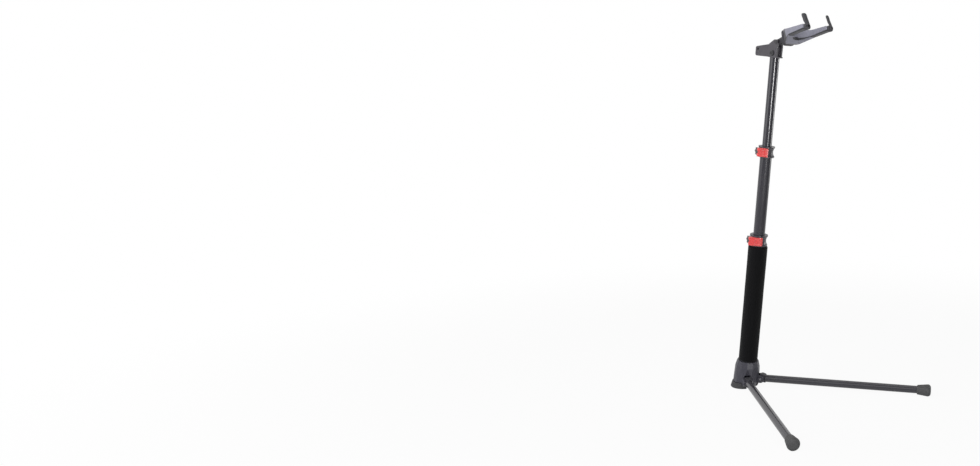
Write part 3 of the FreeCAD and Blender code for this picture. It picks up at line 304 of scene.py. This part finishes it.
BLACK_PLASTIC = Finish(
    "black_plastic", (0.037, 0.034, 0.041), (0.054, 0.050, 0.060), (0.28, 0.40), Grain.MOULDED, 0.4, 0.025,
    (0.12, 0.12, 0.13), edge_share=0.4)
INNER_PLASTIC = Finish(
    "inner_plastic", (0.52, 0.50, 0.45), (0.66, 0.64, 0.60), (0.38, 0.52), Grain.MOULDED, 0.5, 0.015,
    (0.72, 0.70, 0.66), dust_share=0.0)
# The lever's bright edge tone, wide edge radius and high edge share paint a highlight round its rims.
RED_LEVER = Finish(
    "red_lever", (0.58, 0.036, 0.038), (0.74, 0.060, 0.058), (0.26, 0.38), Grain.MOULDED, 0.5, 0.015,
    (1.0, 0.36, 0.31), edge_share=0.75, edge_radius=2.0, coat=0.5, coat_rough=0.10)
# The yoke's grey tones are a painted reflection on dark rubber, and its split adds painted shade on the
# undersides.
YOKE_PAINTED_REFLECTION = Finish(
    "yoke_grey", (0.210, 0.210, 0.258), (0.275, 0.275, 0.335), (0.50, 0.66), Grain.RUBBER, 0.5, 0.02,
    (0.40, 0.40, 0.47), edge_radius=1.2, split=PaintedReflectionSplit())
FINGER_RUBBER = Finish(
    "finger_rubber", (0.034, 0.034, 0.038), (0.050, 0.050, 0.056), (0.55, 0.72), Grain.RUBBER, 0.5, 0.02,
    (0.11, 0.11, 0.12), edge_radius=1.2)
CAST_BLACK = Finish(
    "cast_black", (0.027, 0.026, 0.031), (0.043, 0.042, 0.050), (0.40, 0.56), Grain.PAINT, 1.2, 0.05,
    (0.20, 0.20, 0.21), edge_share=0.45, specular=0.3)
STEEL = Finish(
    "steel", (0.15, 0.15, 0.16), (0.23, 0.23, 0.24), (0.36, 0.50), Grain.DRAWN, 0.5, 0.01,
    (0.34, 0.34, 0.35), edge_share=0.3, edge_radius=0.3, metallic=1.0)
BLACK_STEEL = Finish(
    "black_steel", (0.016, 0.016, 0.018), (0.028, 0.028, 0.031), (0.30, 0.44), Grain.DRAWN, 0.5, 0.01,
    (0.14, 0.14, 0.15), edge_share=0.45, edge_radius=0.3)

FINISHES: Sequence[Finish] = (
    TUBE_PAINT, FOAM, BOOT_PLASTIC, FOOT_RUBBER, CAP_RUBBER, BLACK_PLASTIC, INNER_PLASTIC, RED_LEVER,
    YOKE_PAINTED_REFLECTION, FINGER_RUBBER, CAST_BLACK, STEEL, BLACK_STEEL)


class EffectGroups:
    """Shader node groups that the finishes share."""

    EVEN: Triple = (1.0, 1.0, 1.0)
    LENGTHWISE: Triple = (1.0, 8.0, 8.0)
    SLOW_DETAIL = 3.0
    SLOW_WIDTH = 40.0                        # slow tone of a noise grain, in widths of its fine grain
    TONE_SHARES: Pair = (0.45, 0.55)         # of the fine and the slow noise
    PIT_FINER = 2.3                          # small pits of the foam, to its large ones
    PIT_SHARES: Pair = (0.6, 0.4)            # of the large and the small pits
    PIT_SLOW_WIDTH = 30.0
    PIT_TONE_SHARES: Pair = (0.5, 0.5)       # of the pits and the slow noise
    BEVEL_SAMPLES = 6
    BEND_GAIN = 5.0
    WEAR_SCALE = 160.0
    WEAR_DETAIL = 5.0
    WEAR_RANGE: Pair = (0.35, 0.65)
    DUST_RANGE: Pair = (0.2, 1.0)            # how far a face looks up
    DUST_SCALE = 60.0
    DUST_DETAIL = 6.0

    def __init__(self) -> None:
        """Build every group once."""
        self.grains: Dict[Grain, bpy.types.NodeTree] = {
            Grain.MOULDED: self._noise_grain("Grain_moulded", 2.0, self.EVEN),
            Grain.PAINT: self._noise_grain("Grain_paint", 0.5, self.EVEN),
            Grain.RUBBER: self._noise_grain("Grain_rubber", 4.0, self.EVEN),
            Grain.DRAWN: self._noise_grain("Grain_drawn", 2.0, self.LENGTHWISE),
            Grain.FOAM: self._cell_grain("Grain_foam"),
        }
        self.edges = self._edge_wear_and_highlight()
        self.dust = self._dust()

    @staticmethod
    def _start(name: str, entry: str, outs: Dict[str, str]) -> Tuple[NodeDesk, Socket, bpy.types.Node]:
        """Open a new group with one float input.

        Args:
            name: Name of the group.
            entry: Name of its input.
            outs: Its outputs with their socket types.

        Returns:
            The desk of the group, its input's socket and its output node.
        """
        tree = bpy.data.node_groups.new(name, "ShaderNodeTree")
        tree.interface.new_socket(entry, in_out="INPUT", socket_type="NodeSocketFloat")
        for key, kind in outs.items():
            tree.interface.new_socket(key, in_out="OUTPUT", socket_type=kind)
        desk = NodeDesk(tree)
        return desk, desk.add("NodeGroupInput").outputs[entry], desk.add("NodeGroupOutput")

    def _start_grain(self, name: str) -> Tuple[NodeDesk, Socket, bpy.types.Node]:
        """Open a grain's group: its scale goes in, and a height and a tone come out."""
        return self._start(name, "Scale", {"Height": "NodeSocketFloat", "Tone": "NodeSocketFloat"})

    def _noise_grain(self, name: str, detail: float, stretch: Triple) -> bpy.types.NodeTree:
        """Grain from noise: a fine height, and a tone that mixes it with a much wider noise.

        Args:
            name: Name of the group.
            detail: Octaves of the fine noise.
            stretch: How much finer the grain is along each axis.

        Returns:
            The node group.
        """
        desk, scale, leave = self._start_grain(name)
        turn = desk.add("ShaderNodeMapping")
        turn.inputs["Scale"].default_value = stretch
        desk.join(desk.place(), turn.inputs["Vector"])
        place = turn.outputs["Vector"]
        fine = desk.noise(place, detail, scale)
        slow = desk.noise(place, self.SLOW_DETAIL, desk.sums("DIVIDE", scale, self.SLOW_WIDTH))
        desk.join(fine, leave.inputs["Height"])
        desk.join(desk.weighed(fine, self.TONE_SHARES[0], slow, self.TONE_SHARES[1]), leave.inputs["Tone"])
        return desk.tree

    def _cell_grain(self, name: str) -> bpy.types.NodeTree:
        """Grain of cut foam: pits in two sizes of cells under a slow unevenness.

        Args:
            name: Name of the group.

        Returns:
            The node group.
        """
        desk, scale, leave = self._start_grain(name)
        place = desk.place()

        def pits(finer: float) -> Socket:
            """Depth of one size of cells.

            Args:
                finer: How many times finer they are than the grain's scale.

            Returns:
                The depth's socket.
            """
            cells = desk.add("ShaderNodeTexVoronoi")
            desk.join(place, cells.inputs["Vector"])
            desk.join(desk.sums("MULTIPLY", scale, finer), cells.inputs["Scale"])
            return cells.outputs["Distance"]

        height = desk.weighed(pits(1.0), self.PIT_SHARES[0], pits(self.PIT_FINER), self.PIT_SHARES[1])
        slow = desk.noise(place, self.SLOW_DETAIL, desk.sums("DIVIDE", scale, self.PIT_SLOW_WIDTH))
        desk.join(height, leave.inputs["Height"])
        tone = desk.weighed(height, self.PIT_TONE_SHARES[0], slow, self.PIT_TONE_SHARES[1])
        desk.join(tone, leave.inputs["Tone"])
        return desk.tree

    def _edge_wear_and_highlight(self) -> bpy.types.NodeTree:
        """Rounded normal at sharp edges, and a broken mask where it leaves the face's own normal.

        Returns:
            The node group.
        """
        outs = {"Normal": "NodeSocketVector", "Edge": "NodeSocketFloat"}
        desk, radius, leave = self._start("Edge_wear_and_highlight", "Radius", outs)
        soft = desk.add("ShaderNodeBevel", samples=self.BEVEL_SAMPLES)
        desk.join(radius, soft.inputs["Radius"])
        own = desk.add("ShaderNodeNewGeometry")
        turn = desk.add("ShaderNodeVectorMath", operation="DOT_PRODUCT")
        desk.join(soft.outputs["Normal"], turn.inputs[0])
        desk.join(own.outputs["Normal"], turn.inputs[1])
        bend = desk.sums("MULTIPLY", desk.sums("SUBTRACT", 1.0, turn.outputs["Value"]), self.BEND_GAIN)
        worn_and_lit = desk.span(desk.noise(desk.place(), self.WEAR_DETAIL, self.WEAR_SCALE), self.WEAR_RANGE)
        edge = desk.sums("MULTIPLY", bend, worn_and_lit)
        edge.node.use_clamp = True
        desk.join(soft.outputs["Normal"], leave.inputs["Normal"])
        desk.join(edge, leave.inputs["Edge"])
        return desk.tree

    def _dust(self) -> bpy.types.NodeTree:
        """Dust mask: faces that look up, thinned by noise.

        Returns:
            The node group.
        """
        desk, amount, leave = self._start("Dust", "Amount", {"Dust": "NodeSocketFloat"})
        own = desk.add("ShaderNodeNewGeometry")
        parts = desk.add("ShaderNodeSeparateXYZ")
        desk.join(own.outputs["Normal"], parts.inputs["Vector"])
        up = desk.span(parts.outputs["Z"], self.DUST_RANGE)
        cloud = desk.noise(desk.place(), self.DUST_DETAIL, self.DUST_SCALE)
        mask = desk.sums("MULTIPLY", desk.sums("MULTIPLY", up, cloud), amount)
        desk.join(mask, leave.inputs["Dust"])
        return desk.tree


class FinishShop:
    """Makes one material per finish and puts it on the pieces."""

    DUST_TONE: Colour = (0.33, 0.32, 0.30)
    GLOSS_RANGE: Pair = (0.3, 0.7)           # tones of the grain between the least and greatest roughness
    BUMP_STRENGTH = 0.6

    def __init__(self) -> None:
        """Build the shared groups and every material."""
        self.groups = EffectGroups()
        self.made: Dict[str, bpy.types.Material] = {f.name: self._material(f) for f in FINISHES}

    @staticmethod
    def _placed(desk: NodeDesk, group: bpy.types.NodeTree, entry: str, value: float) -> bpy.types.Node:
        """Place a shared group in a material with its own value.

        Args:
            desk: Desk of the material's tree.
            group: The group to place.
            entry: Name of its input.
            value: Value of its input.

        Returns:
            The group node.
        """
        node = desk.add("ShaderNodeGroup", node_tree=group)
        node.inputs[entry].default_value = value
        return node

    def _material(self, finish: Finish) -> bpy.types.Material:
        """Build a finish as nodes: two tones by grain, lighter edges (rubbing, and a painted highlight on the
        red lever), the yoke's painted reflection and shade, dust, varied gloss and bump.

        Args:
            finish: The finish to build.

        Returns:
            The material.
        """
        material = bpy.data.materials.new(finish.name)
        material.use_nodes = True
        desk = NodeDesk(material.node_tree)
        desk.tree.nodes.clear()
        shader = desk.add("ShaderNodeBsdfPrincipled")
        shader.inputs["Metallic"].default_value = finish.metallic
        shader.inputs["Specular IOR Level"].default_value = finish.specular
        shader.inputs["Coat Weight"].default_value = finish.coat
        shader.inputs["Coat Roughness"].default_value = finish.coat_rough
        shader.inputs["Sheen Weight"].default_value = finish.sheen
        grain = self._placed(desk, self.groups.grains[finish.grain], "Scale", 1.0 / (finish.grain_size * MM))
        edge = self._placed(desk, self.groups.edges, "Radius", finish.edge_radius * MM)
        dust = self._placed(desk, self.groups.dust, "Amount", finish.dust_share)
        body = desk.mix(grain.outputs["Tone"], finish.dark, finish.light)
        # On the yoke, the split lays the dark rubber at the rear and painted shade on the undersides over the
        # grey painted reflection.
        if finish.split:
            body = desk.mix(finish.split.mask(desk), body, finish.split.dark)
        # Lighter edges: rubbed on most finishes, a painted highlight on the red lever.
        wear_and_highlight = desk.sums("MULTIPLY", edge.outputs["Edge"], finish.edge_share)
        worn_and_lit = desk.mix(wear_and_highlight, body, finish.edge_tone)
        dusty = desk.mix(dust.outputs["Dust"], worn_and_lit, self.DUST_TONE)
        desk.join(dusty, shader.inputs["Base Color"])
        gloss = desk.span(grain.outputs["Tone"], self.GLOSS_RANGE, finish.rough)
        desk.join(gloss, shader.inputs["Roughness"])
        bump = desk.add("ShaderNodeBump", strength=self.BUMP_STRENGTH, distance=finish.grain_depth * MM)
        desk.join(grain.outputs["Height"], bump.inputs["Height"])
        desk.join(edge.outputs["Normal"], bump.inputs["Normal"])
        desk.join(bump.outputs["Normal"], shader.inputs["Normal"])
        leave = desk.add("ShaderNodeOutputMaterial")
        desk.join(shader.outputs["BSDF"], leave.inputs["Surface"])
        return material

    def dress(self, piece: bpy.types.Object, finish: Finish) -> None:
        """Give a piece one finish on all its faces."""
        piece.data.materials.clear()
        piece.data.materials.append(self.made[finish.name])


def grid_faces(rows: int, columns: int, join_rows: bool, join_columns: bool) -> np.ndarray:
    """Four-cornered faces between neighbours of a grid of points.

    Args:
        rows: Rows of the grid.
        columns: Points in each row.
        join_rows: Whether the last row joins the first.
        join_columns: Whether the last point of a row joins its first.

    Returns:
        The faces, each as its point, the next in the row, the one across, and the next row's.
    """
    i, j = np.meshgrid(np.arange(rows if join_rows else rows - 1),
                       np.arange(columns if join_columns else columns - 1), indexing="ij")
    up, beside = (i + 1) % rows, (j + 1) % columns
    corners = [i * columns + j, i * columns + beside, up * columns + beside, up * columns + j]
    return np.stack(corners, axis=-1).reshape(-1, 4)


def smooth_piece(name: str, points: np.ndarray, faces: List[List[int]],
                 sharp: Optional[float] = None) -> bpy.types.Object:
    """Put points and faces into a smooth mesh.

    Args:
        name: Name of the piece.
        points: Array of points in metres, of any shape that ends in 3.
        faces: Corners of each face, counted through the array.
        sharp: Angle in degrees past which an edge stays sharp.

    Returns:
        The new object at the origin.
    """
    mesh = bpy.data.meshes.new(name)
    mesh.from_pydata(points.reshape(-1, 3).tolist(), [], faces)
    mesh.polygons.foreach_set("use_smooth", np.ones(len(mesh.polygons), dtype=bool))
    if sharp is not None:
        mesh.set_sharp_from_angle(angle=math.radians(sharp))
    mesh.update()
    piece = bpy.data.objects.new(name, mesh)
    bpy.context.scene.collection.objects.link(piece)
    return piece


@dataclass(frozen=True)
class Wave:
    """One soft wave of the foam, which runs along the sleeve and round it.

    Its length is in millimetres to a radian, its lobes are counted round the sleeve, its phase is in radians,
    and its height is its share among the waves.
    """

    length: float
    lobes: int
    phase: float
    height: float


@dataclass
class FoamGrip:
    """Foam sleeve on the leaning column.

    Lengths are in millimetres, heights count along the column's axis, and the lean is in degrees.
    """

    lean: float = 8.04
    axis_ahead: float = 6.9
    tube_r: float = 18.0
    low: float = 78.3
    top: float = 402.0
    outer_r: float = 26.0
    lip: float = 4.5
    clear: float = 0.15
    wave_depth: float = 0.35
    wave_from: float = 2.0
    wave_ramp: float = 4.0
    waves: Sequence[Wave] = (Wave(31.0, 2, 0.0, 1.0), Wave(17.0, -3, 1.3, 1.0), Wave(9.0, 5, 0.0, 0.6))
    lip_steps: int = 12
    inside_steps: int = 6
    along: int = 150
    around: int = 160
    pieces: List[bpy.types.Object] = field(default_factory=list)

    def stand(self) -> Matrix:
        """Place of the column's own frame in the stand, in metres."""
        shift = Matrix.Translation((0.0, -self.axis_ahead * MM, 0.0))
        return shift @ Matrix.Rotation(math.radians(self.lean), 4, "X")

    def profile(self) -> Tuple[np.ndarray, np.ndarray]:
        """Closed section of the sleeve.

        The outside is a straight run between two quarter rounds, and the inside follows the tube.

        Returns:
            Radius and height of each point of the section.
        """
        lip = self.lip
        turn = np.linspace(0.0, math.pi / 2, self.lip_steps)
        low_r = self.outer_r - lip + lip * np.sin(turn)
        low_s = self.low + lip - lip * np.cos(turn)
        run_s = np.linspace(self.low + lip, self.top - lip, self.along)[1:-1]
        run_r = np.full_like(run_s, self.outer_r)
        top_r = self.outer_r - lip + lip * np.cos(turn)
        top_s = self.top - lip + lip * np.sin(turn)
        inside_s = np.linspace(self.top, self.low, self.inside_steps)
        inside_r = np.full_like(inside_s, self.tube_r + self.clear)
        radius = np.concatenate([low_r, run_r, top_r, inside_r])
        height = np.concatenate([low_s, run_s, top_s, inside_s])
        return radius, height

    def sleeve(self) -> bpy.types.Object:
        """Sleeve: the section turned round the tube, pressed in by a sum of soft sine waves on the outside.

        Returns:
            The sleeve.
        """
        radius, height = self.profile()
        turn = np.linspace(0.0, FULL_TURN, self.around, endpoint=False)
        r, t = np.meshgrid(radius, turn, indexing="ij")
        s = np.broadcast_to(height[:, None], r.shape)
        swell = sum(w.height * np.sin(s / w.length + w.lobes * t + w.phase) for w in self.waves)
        most = sum(w.height for w in self.waves)
        outside = np.clip((r - self.tube_r - self.wave_from) / self.wave_ramp, 0.0, 1.0)
        r = r - self.wave_depth * outside * (swell + most) / (2 * most)
        points = np.stack([r * np.cos(t), r * np.sin(t), s], axis=-1) * MM
        turned = np.array(self.stand().to_3x3())
        shift = np.array(self.stand().translation)
        faces = grid_faces(*r.shape, join_rows=True, join_columns=True)
        return smooth_piece("foam_sleeve", points @ turned.T + shift, faces.tolist())

    def build(self, shop: FinishShop) -> None:
        """Make the sleeve and dress it.

        Args:
            shop: Where the finishes are made.
        """
        sleeve = self.sleeve()
        shop.dress(sleeve, FOAM)
        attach(sleeve, "base")
        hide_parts("foam_grip")
        self.pieces.append(sleeve)


@dataclass
class Foot:
    """Rubber foot under the boot: a leaning cup that ends at the legs.

    Its upper part ends beside the ears of the boot, and its lower part reaches in under the legs. Lengths are
    in millimetres, and angles in degrees.
    """

    sole_r: float = 37.4
    top_r: float = 37.6
    height: float = 20.0
    top_ahead: float = 9.725
    seam: float = 2.4
    wall: float = 3.3
    floor: float = 5.0
    corner: float = 4.0
    corner_steps: int = 9
    bore_r: float = 6.0
    middle_r: float = 20.0
    floor_r: float = 28.0
    low_rings: Pair = (6.0, 9.0)
    high_ring: float = 16.0
    leg_turn: float = 30.78
    ear_side: float = 14.3
    ear_low: float = 13.2
    ear_step: float = 0.1
    under_leg: float = 1.3
    sharp: float = 35.0
    around: int = 160
    pieces: List[bpy.types.Object] = field(default_factory=list)

    def profile(self) -> Tuple[np.ndarray, np.ndarray]:
        """Section of the cup as two lines of the same count, from the middle to the top edge.

        The outside is the sole, a quarter round and the wall; the inside is the cup's floor and its wall.

        Returns:
            Radius and height of each point outside, and the same inside.
        """
        turn = np.linspace(0.0, math.pi / 2, self.corner_steps)
        rise = np.array([*self.low_rings, self.ear_low - self.ear_step, self.ear_low + self.ear_step,
                         self.high_ring, self.height - self.seam])
        wall_r = self.sole_r + (self.top_r - self.sole_r) * rise / self.height
        corner_r = self.sole_r - self.corner + self.corner * np.sin(turn)
        corner_z = self.corner - self.corner * np.cos(turn)
        floor_r = np.linspace(self.floor_r, self.sole_r - self.wall, len(turn))
        middle = [self.bore_r, self.middle_r]
        outside_r = np.concatenate([middle, corner_r, wall_r])
        outside_z = np.concatenate([np.zeros(len(middle)), corner_z, rise])
        inside_r = np.concatenate([middle, floor_r, wall_r - self.wall])
        inside_z = np.concatenate([np.full(len(middle) + len(turn), self.floor), rise])
        return np.stack([outside_r, outside_z]), np.stack([inside_r, inside_z])

    def cup(self) -> bpy.types.Object:
        """Foot: the section carried round from one leg to the other, its middle moving ahead with height.

        Each point's turn starts where its circle meets the plane beside the leg, and both ends are closed
        between the outside and the inside.

        Returns:
            The foot.
        """
        outside, inside = self.profile()
        radius, height = np.concatenate([outside, inside[:, ::-1]], axis=1)
        ahead = self.top_ahead * height / self.height
        leg = math.radians(self.leg_turn)
        side = np.where(height > self.ear_low, self.ear_side, self.under_leg)
        start = leg + np.arcsin(np.clip((side + ahead * math.sin(leg)) / radius, -1.0, 1.0))
        share = np.linspace(0.0, 1.0, self.around)
        turn = start[:, None] + share[None, :] * (FULL_TURN - 2 * start)[:, None]
        x = -radius[:, None] * np.sin(turn)
        y = -ahead[:, None] - radius[:, None] * np.cos(turn)
        z = np.broadcast_to(height[:, None], x.shape)
        rows, columns = x.shape
        skin = grid_faces(rows, columns, join_rows=True, join_columns=False)[:, [0, 3, 2, 1]]
        k = np.arange(outside.shape[1] - 1)
        end = np.stack([k, k + 1, rows - 2 - k, rows - 1 - k], axis=-1) * columns
        faces = np.concatenate([skin, end[:, ::-1], end + columns - 1])
        return smooth_piece("foot_cup", np.stack([x, y, z], axis=-1) * MM, faces.tolist(), self.sharp)

    def build(self, shop: FinishShop) -> None:
        """Make the foot and dress it.

        Args:
            shop: Where the finishes are made.
        """
        cup = self.cup()
        shop.dress(cup, FOOT_RUBBER)
        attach(cup, "base")
        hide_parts("base_foot")
        self.pieces.append(cup)


@dataclass
class ReturnSpring:
    """Coil spring that lifts the yoke's body. Lengths in millimetres in the yoke's own frame.

    Its foot stands on the fork and its top pushes the roof of the body, so the drop of the body shortens it.
    """

    ahead: float = 50.5
    low: float = 4.91
    high: float = 19.48
    coil_r: float = 4.0
    wire_r: float = 0.4
    turns: float = 5.0
    closing: float = 0.6
    drop: float = 4.6
    along: int = 300
    around: int = 12
    pieces: List[bpy.types.Object] = field(default_factory=list)

    @staticmethod
    def placed(x: np.ndarray, ahead: np.ndarray, height: np.ndarray) -> np.ndarray:
        """Turn points of the yoke's frame into the stand's frame.

        Args:
            x: Place across the yoke.
            ahead: Place ahead of the tilt pin.
            height: Height over the tilt pin.

        Returns:
            The points in metres.
        """
        tilt = math.radians(YOKE_TILT)
        y = YOKE_PIN[0] - ahead * math.cos(tilt) + height * math.sin(tilt)
        z = YOKE_PIN[1] + ahead * math.sin(tilt) + height * math.cos(tilt)
        return np.stack([x, y, z], axis=-1) * MM

    def coil(self) -> bpy.types.Object:
        """Spring: a round wire carried along a helix whose turns close up towards both ends.

        The height is the share of the way less a sine of it, so the pitch is least at the ends.

        Returns:
            The spring.
        """
        way = np.linspace(0.0, 1.0, self.along)[:, None]
        wire = np.linspace(0.0, FULL_TURN, self.around, endpoint=False)[None, :]
        turn = FULL_TURN * self.turns * way
        rise = way - self.closing * np.sin(FULL_TURN * way) / FULL_TURN
        radius = self.coil_r + self.wire_r * np.cos(wire)
        middle = self.low + self.wire_r + (self.high - self.low - 2 * self.wire_r) * rise
        height = middle + self.wire_r * np.sin(wire)
        points = self.placed(radius * np.cos(turn), self.ahead + radius * np.sin(turn), height)
        faces = grid_faces(self.along, self.around, join_rows=False, join_columns=True).tolist()
        ring = np.arange(self.around)
        faces += [ring[::-1].tolist(), (ring + (self.along - 1) * self.around).tolist()]
        return smooth_piece("yoke_spring", points, faces)

    def build(self, shop: FinishShop) -> None:
        """Make the spring, dress it, hang it on the yoke and give it a mesh of its own.

        Args:
            shop: Where the finishes are made.
        """
        spring = self.coil()
        shop.dress(spring, STEEL)
        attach(spring, "yoke")
        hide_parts("return_spring")
        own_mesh(spring)
        self.pieces.append(spring)


@dataclass
class Fittings:
    """Parts that keep their CAD form and get the finish of their material slot."""

    slots: Dict[str, str]

    def build(self, shop: FinishShop) -> None:
        """Dress every CAD node by its slot.

        Args:
            shop: Where the finishes are made.
        """
        by_name = {f.name: f for f in FINISHES}
        for node, piece in frame["nodes"].items():
            shop.dress(piece, by_name[self.slots[node]])
            LOG.info("%s dressed as %s", node, self.slots[node])


@dataclass(frozen=True)
class SoftBox:
    """One lamp: where it hangs and its face in metres, its power in watts, and what it lights."""

    name: str
    place: Triple
    size: Pair
    power: float
    on_matt: bool = True
    on_gloss: bool = True


SOFT_BOXES: Sequence[SoftBox] = (
    SoftBox("key", (-2.6, 0.7, 1.4), (2.0, 2.4), 30.0),
    SoftBox("key_matt", (-2.6, 0.7, 1.4), (2.0, 2.4), 40.0, on_gloss=False),
    SoftBox("strip", (-1.22, -2.41, 0.40), (0.50, 0.7), 34.0, on_matt=False),
    SoftBox("rim", (2.3, -1.2, 0.6), (0.6, 1.1), 19.0, on_matt=False),
    SoftBox("front", (-1.10, -2.50, 0.60), (1.0, 1.0), 20.0, on_gloss=False),
    SoftBox("fill", (-2.4, -1.7, 1.8), (2.4, 2.4), 22.0),
    SoftBox("top", (-0.2, 0.1, 3.0), (1.8, 1.8), 12.0),
)


@dataclass
class Studio:
    """Camera, lamps, floor and white surround. Lengths in metres, angles in degrees."""

    image_width: float = 980.0
    sensor: float = 36.0
    focal_pixels: float = 917.92
    centre_x: float = 816.84
    turn: float = -46.892
    pan: float = 4.730
    pitch: float = 8.068
    roll: float = -0.20
    distance: float = 2.4626
    height: float = 0.7726
    lamp_aim: Triple = (0.0, -0.15, 0.5)
    floor_size: float = 30.0
    floor_tone: float = 0.80
    floor_white: float = 0.94
    veil: Pair = (0.7, 2.2)
    ambient: float = 0.18
    dim_way: Triple = (-0.40, -0.70, 0.57)
    dim_share: float = 0.13
    dim_turn: Pair = (0.0, 0.7)
    dim_reach: Pair = (0.1, 0.5)

    def axes(self) -> Tuple[Vector, Vector, Vector]:
        """Work out how the camera is turned: round the stand, then panned, pitched and rolled.

        Returns:
            The camera's right, up and forward directions.
        """
        phi, pan, pitch, roll = (math.radians(a) for a in (self.turn, self.pan, self.pitch, self.roll))
        right = Vector((-math.sin(phi), -math.cos(phi), 0.0))
        depth = Vector((math.cos(phi), -math.sin(phi), 0.0))
        side = right * math.cos(pan) - depth * math.sin(pan)
        level = right * math.sin(pan) + depth * math.cos(pan)
        plumb = Vector((0.0, 0.0, 1.0))
        up = plumb * math.cos(pitch) + level * math.sin(pitch)
        ahead = level * math.cos(pitch) - plumb * math.sin(pitch)
        return side * math.cos(roll) + up * math.sin(roll), up * math.cos(roll) - side * math.sin(roll), ahead

    def camera(self) -> None:
        """Set the camera where the photo was taken from."""
        phi = math.radians(self.turn)
        side, up, ahead = self.axes()
        data = bpy.data.cameras.new("camera")
        data.sensor_width = self.sensor
        data.lens = self.focal_pixels * self.sensor / self.image_width
        data.shift_x = -(self.centre_x - self.image_width / 2) / self.image_width
        camera = bpy.data.objects.new("camera", data)
        place = Matrix((side, up, -ahead)).transposed().to_4x4()
        place.translation = (-self.distance * math.cos(phi), self.distance * math.sin(phi), self.height)
        camera.matrix_world = place
        bpy.context.scene.collection.objects.link(camera)
        bpy.context.scene.camera = camera

    def lamp(self, box: SoftBox) -> None:
        """Hang a soft box that points at the stand.

        Args:
            box: The soft box.
        """
        data = bpy.data.lights.new(box.name, "AREA")
        data.shape = "RECTANGLE"
        data.size, data.size_y = box.size
        data.energy = box.power
        lamp = bpy.data.objects.new(box.name, data)
        lamp.location = box.place
        lamp.visible_diffuse = box.on_matt
        lamp.visible_glossy = box.on_gloss
        lamp.rotation_euler = (Vector(self.lamp_aim) - Vector(box.place)).to_track_quat("-Z", "Y").to_euler()
        bpy.context.scene.collection.objects.link(lamp)

    def seen_share(self, desk: NodeDesk, spot: str, span: Pair) -> Socket:
        """Share of white that a ray sees: all from the camera, and less by reflection on the dim side.

        Args:
            desk: Desk of the world's or the floor's tree.
            spot: Coordinates that tell the side of the room.
            span: Where the dim side starts and where it is dimmest, along its own way.

        Returns:
            The share's socket.
        """
        path = desk.add("ShaderNodeLightPath")
        place = desk.add("ShaderNodeTexCoord")
        along = desk.add("ShaderNodeVectorMath", operation="DOT_PRODUCT")
        desk.join(place.outputs[spot], along.inputs[0])
        along.inputs[1].default_value = self.dim_way
        room = desk.span(along.outputs["Value"], span, (1.0, self.dim_share), smooth=True)
        both = desk.sums("MAXIMUM", path.outputs["Is Glossy Ray"], path.outputs["Is Transmission Ray"])
        return desk.sums("MAXIMUM", path.outputs["Is Camera Ray"], desk.sums("MULTIPLY", both, room))

    def surround(self) -> None:
        """White world for the camera and reflections, soft ambient light for the rest."""
        world = bpy.data.worlds.new("surround")
        bpy.context.scene.world = world
        world.use_nodes = True
        desk = NodeDesk(world.node_tree)
        desk.tree.nodes.clear()
        light = desk.add("ShaderNodeBackground", strength=self.ambient)
        white = desk.add("ShaderNodeBackground", strength=1.0)
        for node in (light, white):
            node.inputs["Color"].default_value = (1.0, 1.0, 1.0, 1.0)
        both = desk.add("ShaderNodeMixShader")
        desk.join(self.seen_share(desk, "Generated", self.dim_turn), both.inputs[0])
        desk.join(light.outputs[0], both.inputs[1])
        desk.join(white.outputs[0], both.inputs[2])
        leave = desk.add("ShaderNodeOutputWorld")
        desk.join(both.outputs[0], leave.inputs["Surface"])

    def veil_share(self, desk: NodeDesk) -> Socket:
        """Share of white on the floor: least round the stand, and full far away from it.

        Args:
            desk: Desk of the floor's tree.

        Returns:
            The share's socket.
        """
        reach = desk.add("ShaderNodeVectorMath", operation="LENGTH")
        desk.join(desk.place(), reach.inputs[0])
        return desk.span(reach.outputs["Value"], self.veil, (self.floor_white, 1.0), smooth=True)

    def floor(self) -> None:
        """Pale floor that keeps the shadow under a veil of white."""
        half = self.floor_size / 2
        corners = [(-half, -half, 0.0), (half, -half, 0.0), (half, half, 0.0), (-half, half, 0.0)]
        mesh = bpy.data.meshes.new("floor")
        mesh.from_pydata(corners, [], [(0, 1, 2, 3)])
        floor = bpy.data.objects.new("floor", mesh)
        bpy.context.scene.collection.objects.link(floor)
        material = bpy.data.materials.new("floor")
        material.use_nodes = True
        desk = NodeDesk(material.node_tree)
        desk.tree.nodes.clear()
        matt = desk.add("ShaderNodeBsdfDiffuse")
        matt.inputs["Color"].default_value = (self.floor_tone, self.floor_tone, self.floor_tone, 1.0)
        white = desk.add("ShaderNodeEmission")
        both = desk.add("ShaderNodeMixShader")
        seen = self.seen_share(desk, "Object", self.dim_reach)
        desk.join(desk.sums("MULTIPLY", seen, self.veil_share(desk)), both.inputs[0])
        desk.join(matt.outputs[0], both.inputs[1])
        desk.join(white.outputs[0], both.inputs[2])
        leave = desk.add("ShaderNodeOutputMaterial")
        desk.join(both.outputs[0], leave.inputs["Surface"])
        mesh.materials.append(material)

    def build(self) -> None:
        """Set up the whole studio."""
        self.camera()
        self.surround()
        self.floor()
        for box in SOFT_BOXES:
            self.lamp(box)
        bpy.context.scene.view_settings.view_transform = "Standard"


def main() -> None:
    """Build the studio, dress the stand and report each piece."""
    logging.basicConfig(level=logging.INFO, format="%(name)s: %(message)s")
    Studio().build()
    shop = FinishShop()
    slots = {part["node"]: part["material_slot"] for part in frame["record"]["subparts"]}
    Fittings(slots).build(shop)
    grip, foot, spring = FoamGrip(), Foot(), ReturnSpring()
    for assembly in (grip, foot, spring):
        assembly.build(shop)
    for piece in grip.pieces + foot.pieces + spring.pieces:
        LOG.info("%s built with %d faces", piece.name, len(piece.data.polygons))


if __name__ == "__main__":
    main()
